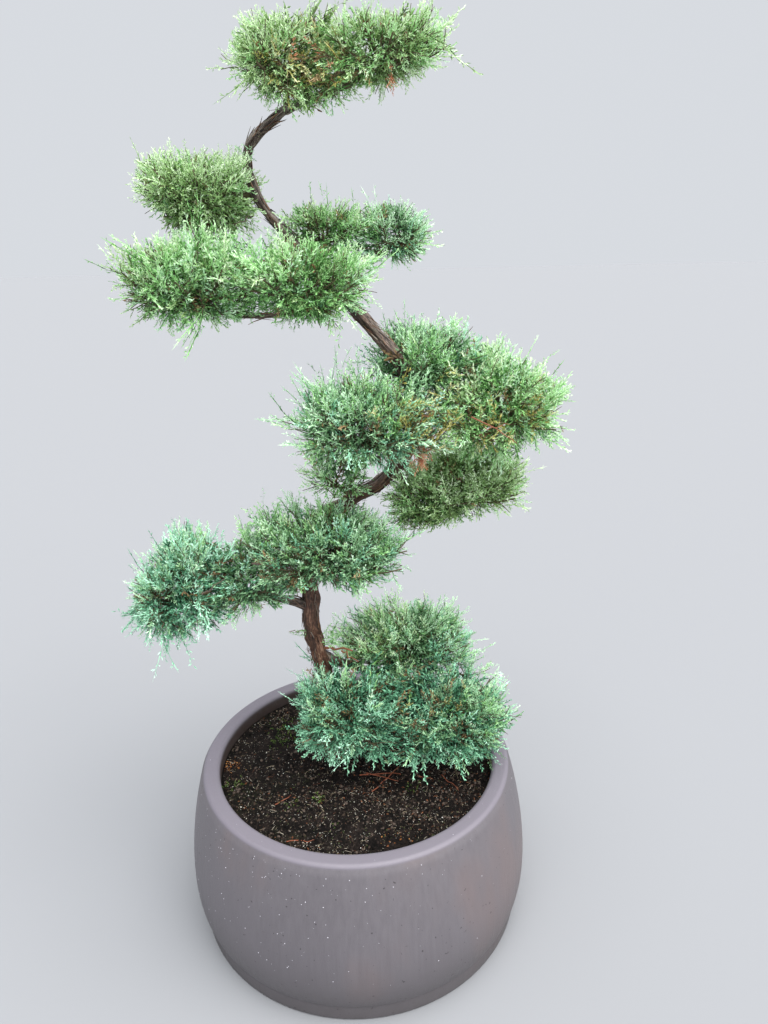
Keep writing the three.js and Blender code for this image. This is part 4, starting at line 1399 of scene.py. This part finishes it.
def grow_sprays(space, clumps, wood, green, random):
    """Sprays leave each twig all round it, and the last one carries it on."""
    twig_roots, twig_ends, owners = clumps.twigs(wood, random)
    shares = np.linspace(0.1, 1, SPRAYS_ON_TWIG)
    roots = (twig_roots[:, None] + (twig_ends - twig_roots)[:, None] * shares[None, :, None]).reshape(-1, 3)
    along = np.repeat(unit(twig_ends - twig_roots), SPRAYS_ON_TWIG, axis=0)
    owners = np.repeat(owners, SPRAYS_ON_TWIG)
    last = np.tile(shares == 1, len(twig_roots))
    lean = np.where(last, 0.12, random.uniform(0.4, 1.1, len(along)))
    out = outward_at(space.pad, roots)
    lift = np.where(out[:, 2:3] > -0.45, 0.5, 0.0)
    headings = turned_away(along, lean, random) + out * 0.2 + UP * lift
    headings = unit(headings + random.normal(0, 0.2, along.shape))
    lengths = random.uniform(*SPRAY_LENGTHS, len(along))
    limits = clumps.limits(owners, roots + headings * lengths[:, None]) + random.normal(0, 0.07, len(along))
    lengths = fitted_lengths(space, roots, headings, lengths, limits)
    kept = lengths > LEAST_SPRAY
    roots, headings, lengths, owners, out = (part[kept] for part in (roots, headings, lengths, owners, out))
    middles = roots + headings * lengths[:, None] * 0.7
    depth = fill(space.pad, middles) - np.maximum(edge_level(space.pad, middles) - 1, 0)
    # Painted light and shade: sprays deep in the pad, facing down or beside their clump's middle take deeper
    # tints, those out on top paler; each mass adds its own paleness.
    painted_shading = 1.62 + 2.4 * (depth - 0.85) + 0.45 * out[:, 2] - 0.55 * clumps.aside(owners, middles)
    painted_shading += clumps.tones[owners] + space.pale + random.normal(0, 0.45, len(roots))
    painted_shading = np.clip(np.round(painted_shading), 0, 2).astype(int)
    look = np.round(clumps.looks[owners] + random.normal(0, 0.4, len(roots))).astype(int)
    look = np.clip(look, 1, len(GREEN_LOOKS) - 1)
    for weight, _, other in spots_near(space.pad, middles):
        draws = random.uniform(0, 1, len(roots))
        if other:
            look[draws < weight * other[1]] = LOOKS.index(other[0])
    look[random.uniform(0, 1, len(roots)) < np.where(depth < 0.55, 0.06, 0.003)] = LOOKS.index("dead")
    tints, alive = look * SHADES + painted_shading, look < len(GREEN_LOOKS)
    for batch, part in ((green, alive), (dead_sprays, ~alive)):
        batch.copies(PLUMES, roots[part], headings[part], out[part], lengths[part], tints[part], random)


def grow_inside(space, green, random):
    """Old growth fills the inside, in each look's deepest tints: painted shade."""
    amount = round(space.area() * INNERS_PER_AREA)
    directions = unit(random.normal(0, 1, (amount, 3)))
    distances = space.surface(directions) * random.uniform(0.1, 0.95, amount)
    roots = space.centre + directions * distances[:, None]
    headings = unit(directions + random.normal(0, 0.3, roots.shape))
    lengths = random.uniform(*INNER_LENGTHS, amount)
    limits = edge_level(space.pad, roots + headings * lengths[:, None]) - 0.22
    lengths = fitted_lengths(space, roots, headings, lengths, limits)
    kept = lengths > LEAST_TWIG
    look = np.where(random.uniform(0, 1, amount) < 0.08, LOOKS.index("dead"), LOOKS.index(space.look))
    green.copies(INNERS, roots[kept], headings[kept], UP, lengths[kept], look[kept] * SHADES, random)


def grow_whips(space, clumps, green, random):
    """A few long pale shoots stand out of the dome, more where the whips are named."""
    picked = random.uniform(0, 1, clumps.count) < WHIP_SHARE
    chosen = np.flatnonzero(picked & (clumps.outward[:, 2] > -0.5))
    rise = unit(clumps.outward[chosen] + UP * 0.5) * random.uniform(0.01, 0.03, (len(chosen), 1))
    roots, tips = [clumps.ends[chosen]], [clumps.places[chosen] + rise]
    for name, place, heading, number, length in WHIPS:
        if name == space.name:
            places = np.array(place) * MM + random.normal(0, 0.018, (number, 3))
            headings = unit(np.array(heading, float) + random.normal(0, 0.2, (number, 3)))
            nearest = np.argmin(np.linalg.norm(clumps.ends[None] - places[:, None], axis=2), axis=1)
            roots.append(clumps.ends[nearest])
            tips.append(places + headings * random.uniform(0.4, 0.8, (number, 1)) * length * MM)
    roots, tips = np.vstack(roots), np.vstack(tips)
    lengths = np.linalg.norm(tips - roots, axis=1)
    headings = (tips - roots) / lengths[:, None]
    lengths = fitted_lengths(space, roots, headings, lengths, np.full(len(roots), 1.6))
    kept = lengths > LEAST_WHIP
    tints = LOOKS.index(space.look) * SHADES + random.integers(0, 3, len(roots))
    green.copies(WISPS, roots[kept], headings[kept], UP, lengths[kept], tints[kept], random)


def grow_tufts():
    """Tufts of their own: dead ones that hang in the pads, and green ones on the trunk."""
    random = np.random.default_rng(FIRST_SEED - 1)
    for look, place, heading, number, spread, length in TUFTS:
        roots = np.array(place) * MM + random.normal(0, spread * MM, (number, 3))
        headings = unit(unit(np.array(heading, float)) + random.normal(0, 0.4, (number, 3)))
        lengths = random.uniform(0.7, 1.2, number) * length * MM
        tints = LOOKS.index(look) * SHADES + random.integers(0, 3, number)
        batch = trunk_sprays if look in GREEN_LOOKS else dead_sprays
        batch.copies(PLUMES, roots, headings, UP, lengths, tints, random)


def grow_bare_twigs():
    """Bare twigs, each a little crooked."""
    random = np.random.default_rng(FIRST_SEED - 2)
    wood = Batch()
    for kind, start, end, radius in BARE_TWIGS:
        path = np.linspace(np.array(start) * MM, np.array(end) * MM, 7)
        path[1:] += random.normal(0, 0.0022, (6, 3))
        girths = np.linspace(radius, radius * 0.45, 7) * MM
        wood.twigs(path[None], girths[None], 6, list(BARE_TINTS).index(kind))
    finishes = [plain_finish(f"{kind}_twig", code, 0.8) for kind, code in BARE_TINTS.items()]
    wood.make("bare_twigs", finishes, "bark")


def grow_fibres():
    """Fibres of bark lie along the limbs, and their ends peel off."""
    random = np.random.default_rng(FIRST_SEED - 3)
    fibres = Batch()
    for limb in (trunk, *boughs.values()):
        for tint in range(len(FIBRE_TINTS)):
            count = round(limb.length * FIBRES_PER_METRE / len(FIBRE_TINTS))
            starts = random.integers(0, len(limb.places) - 1, count)
            headings = unit(np.gradient(limb.places, axis=0))[starts]
            headings *= random.choice((-1, 1), (count, 1))
            away = unit(np.cross(headings, random.normal(0, 1, (count, 3))))
            roots = limb.places[starts] + away * limb.radii[starts, None] * 0.96
            lengths = random.uniform(*FIBRE_LENGTHS, (count, 1))
            drift = np.cross(headings, away) * random.normal(0, 0.1, (count, 1))
            middles = roots + (headings + drift) * lengths * 0.6 + away * 0.001
            peeled = away * random.uniform(0.0005, 0.0035, (count, 1))
            ends = roots + (headings + drift * 2) * lengths + peeled
            girths = np.array(FIBRE_GIRTHS) * MM * random.uniform(0.6, 1.3, (count, 1))
            fibres.twigs(arched(roots, middles, ends, 4), girths, 3, tint)
    fibres.make("bark_fibres", plain_finishes("bark_fibre", FIBRE_TINTS, 0.85), "bark")


def grow_mass(space, places):
    """Grows a mass from its stem: branches fan out over the dome, then twigs, and sprays on those."""
    random = np.random.default_rng(FIRST_SEED + space.index)
    wood, green = Batch(), Batch()
    clumps = Clumps(space, places, wood, random)
    grow_sprays(space, clumps, wood, green, random)
    grow_inside(space, green, random)
    grow_whips(space, clumps, green, random)
    green.make(f"sprays_{space.name}", spray_finishes, "foliage", f"foliage_{space.name}")
    wood.make(f"twigs_{space.name}", [twig_finish], "bark", f"foliage_{space.name}")


set_camera()
set_studio()
make_pot()
make_soil()
make_litter()
make_drops()
make_limbs()
for pad in dict.fromkeys(space.pad for space in spaces):
    places = even_places(pad)
    for space in spaces:
        if space.pad == pad:
            grow_mass(space, places[space.name])
grow_tufts()
dead_sprays.make("dead_sprays", spray_finishes, "foliage")
trunk_sprays.make("trunk_sprays", spray_finishes, "foliage")
grow_bare_twigs()
grow_fibres()
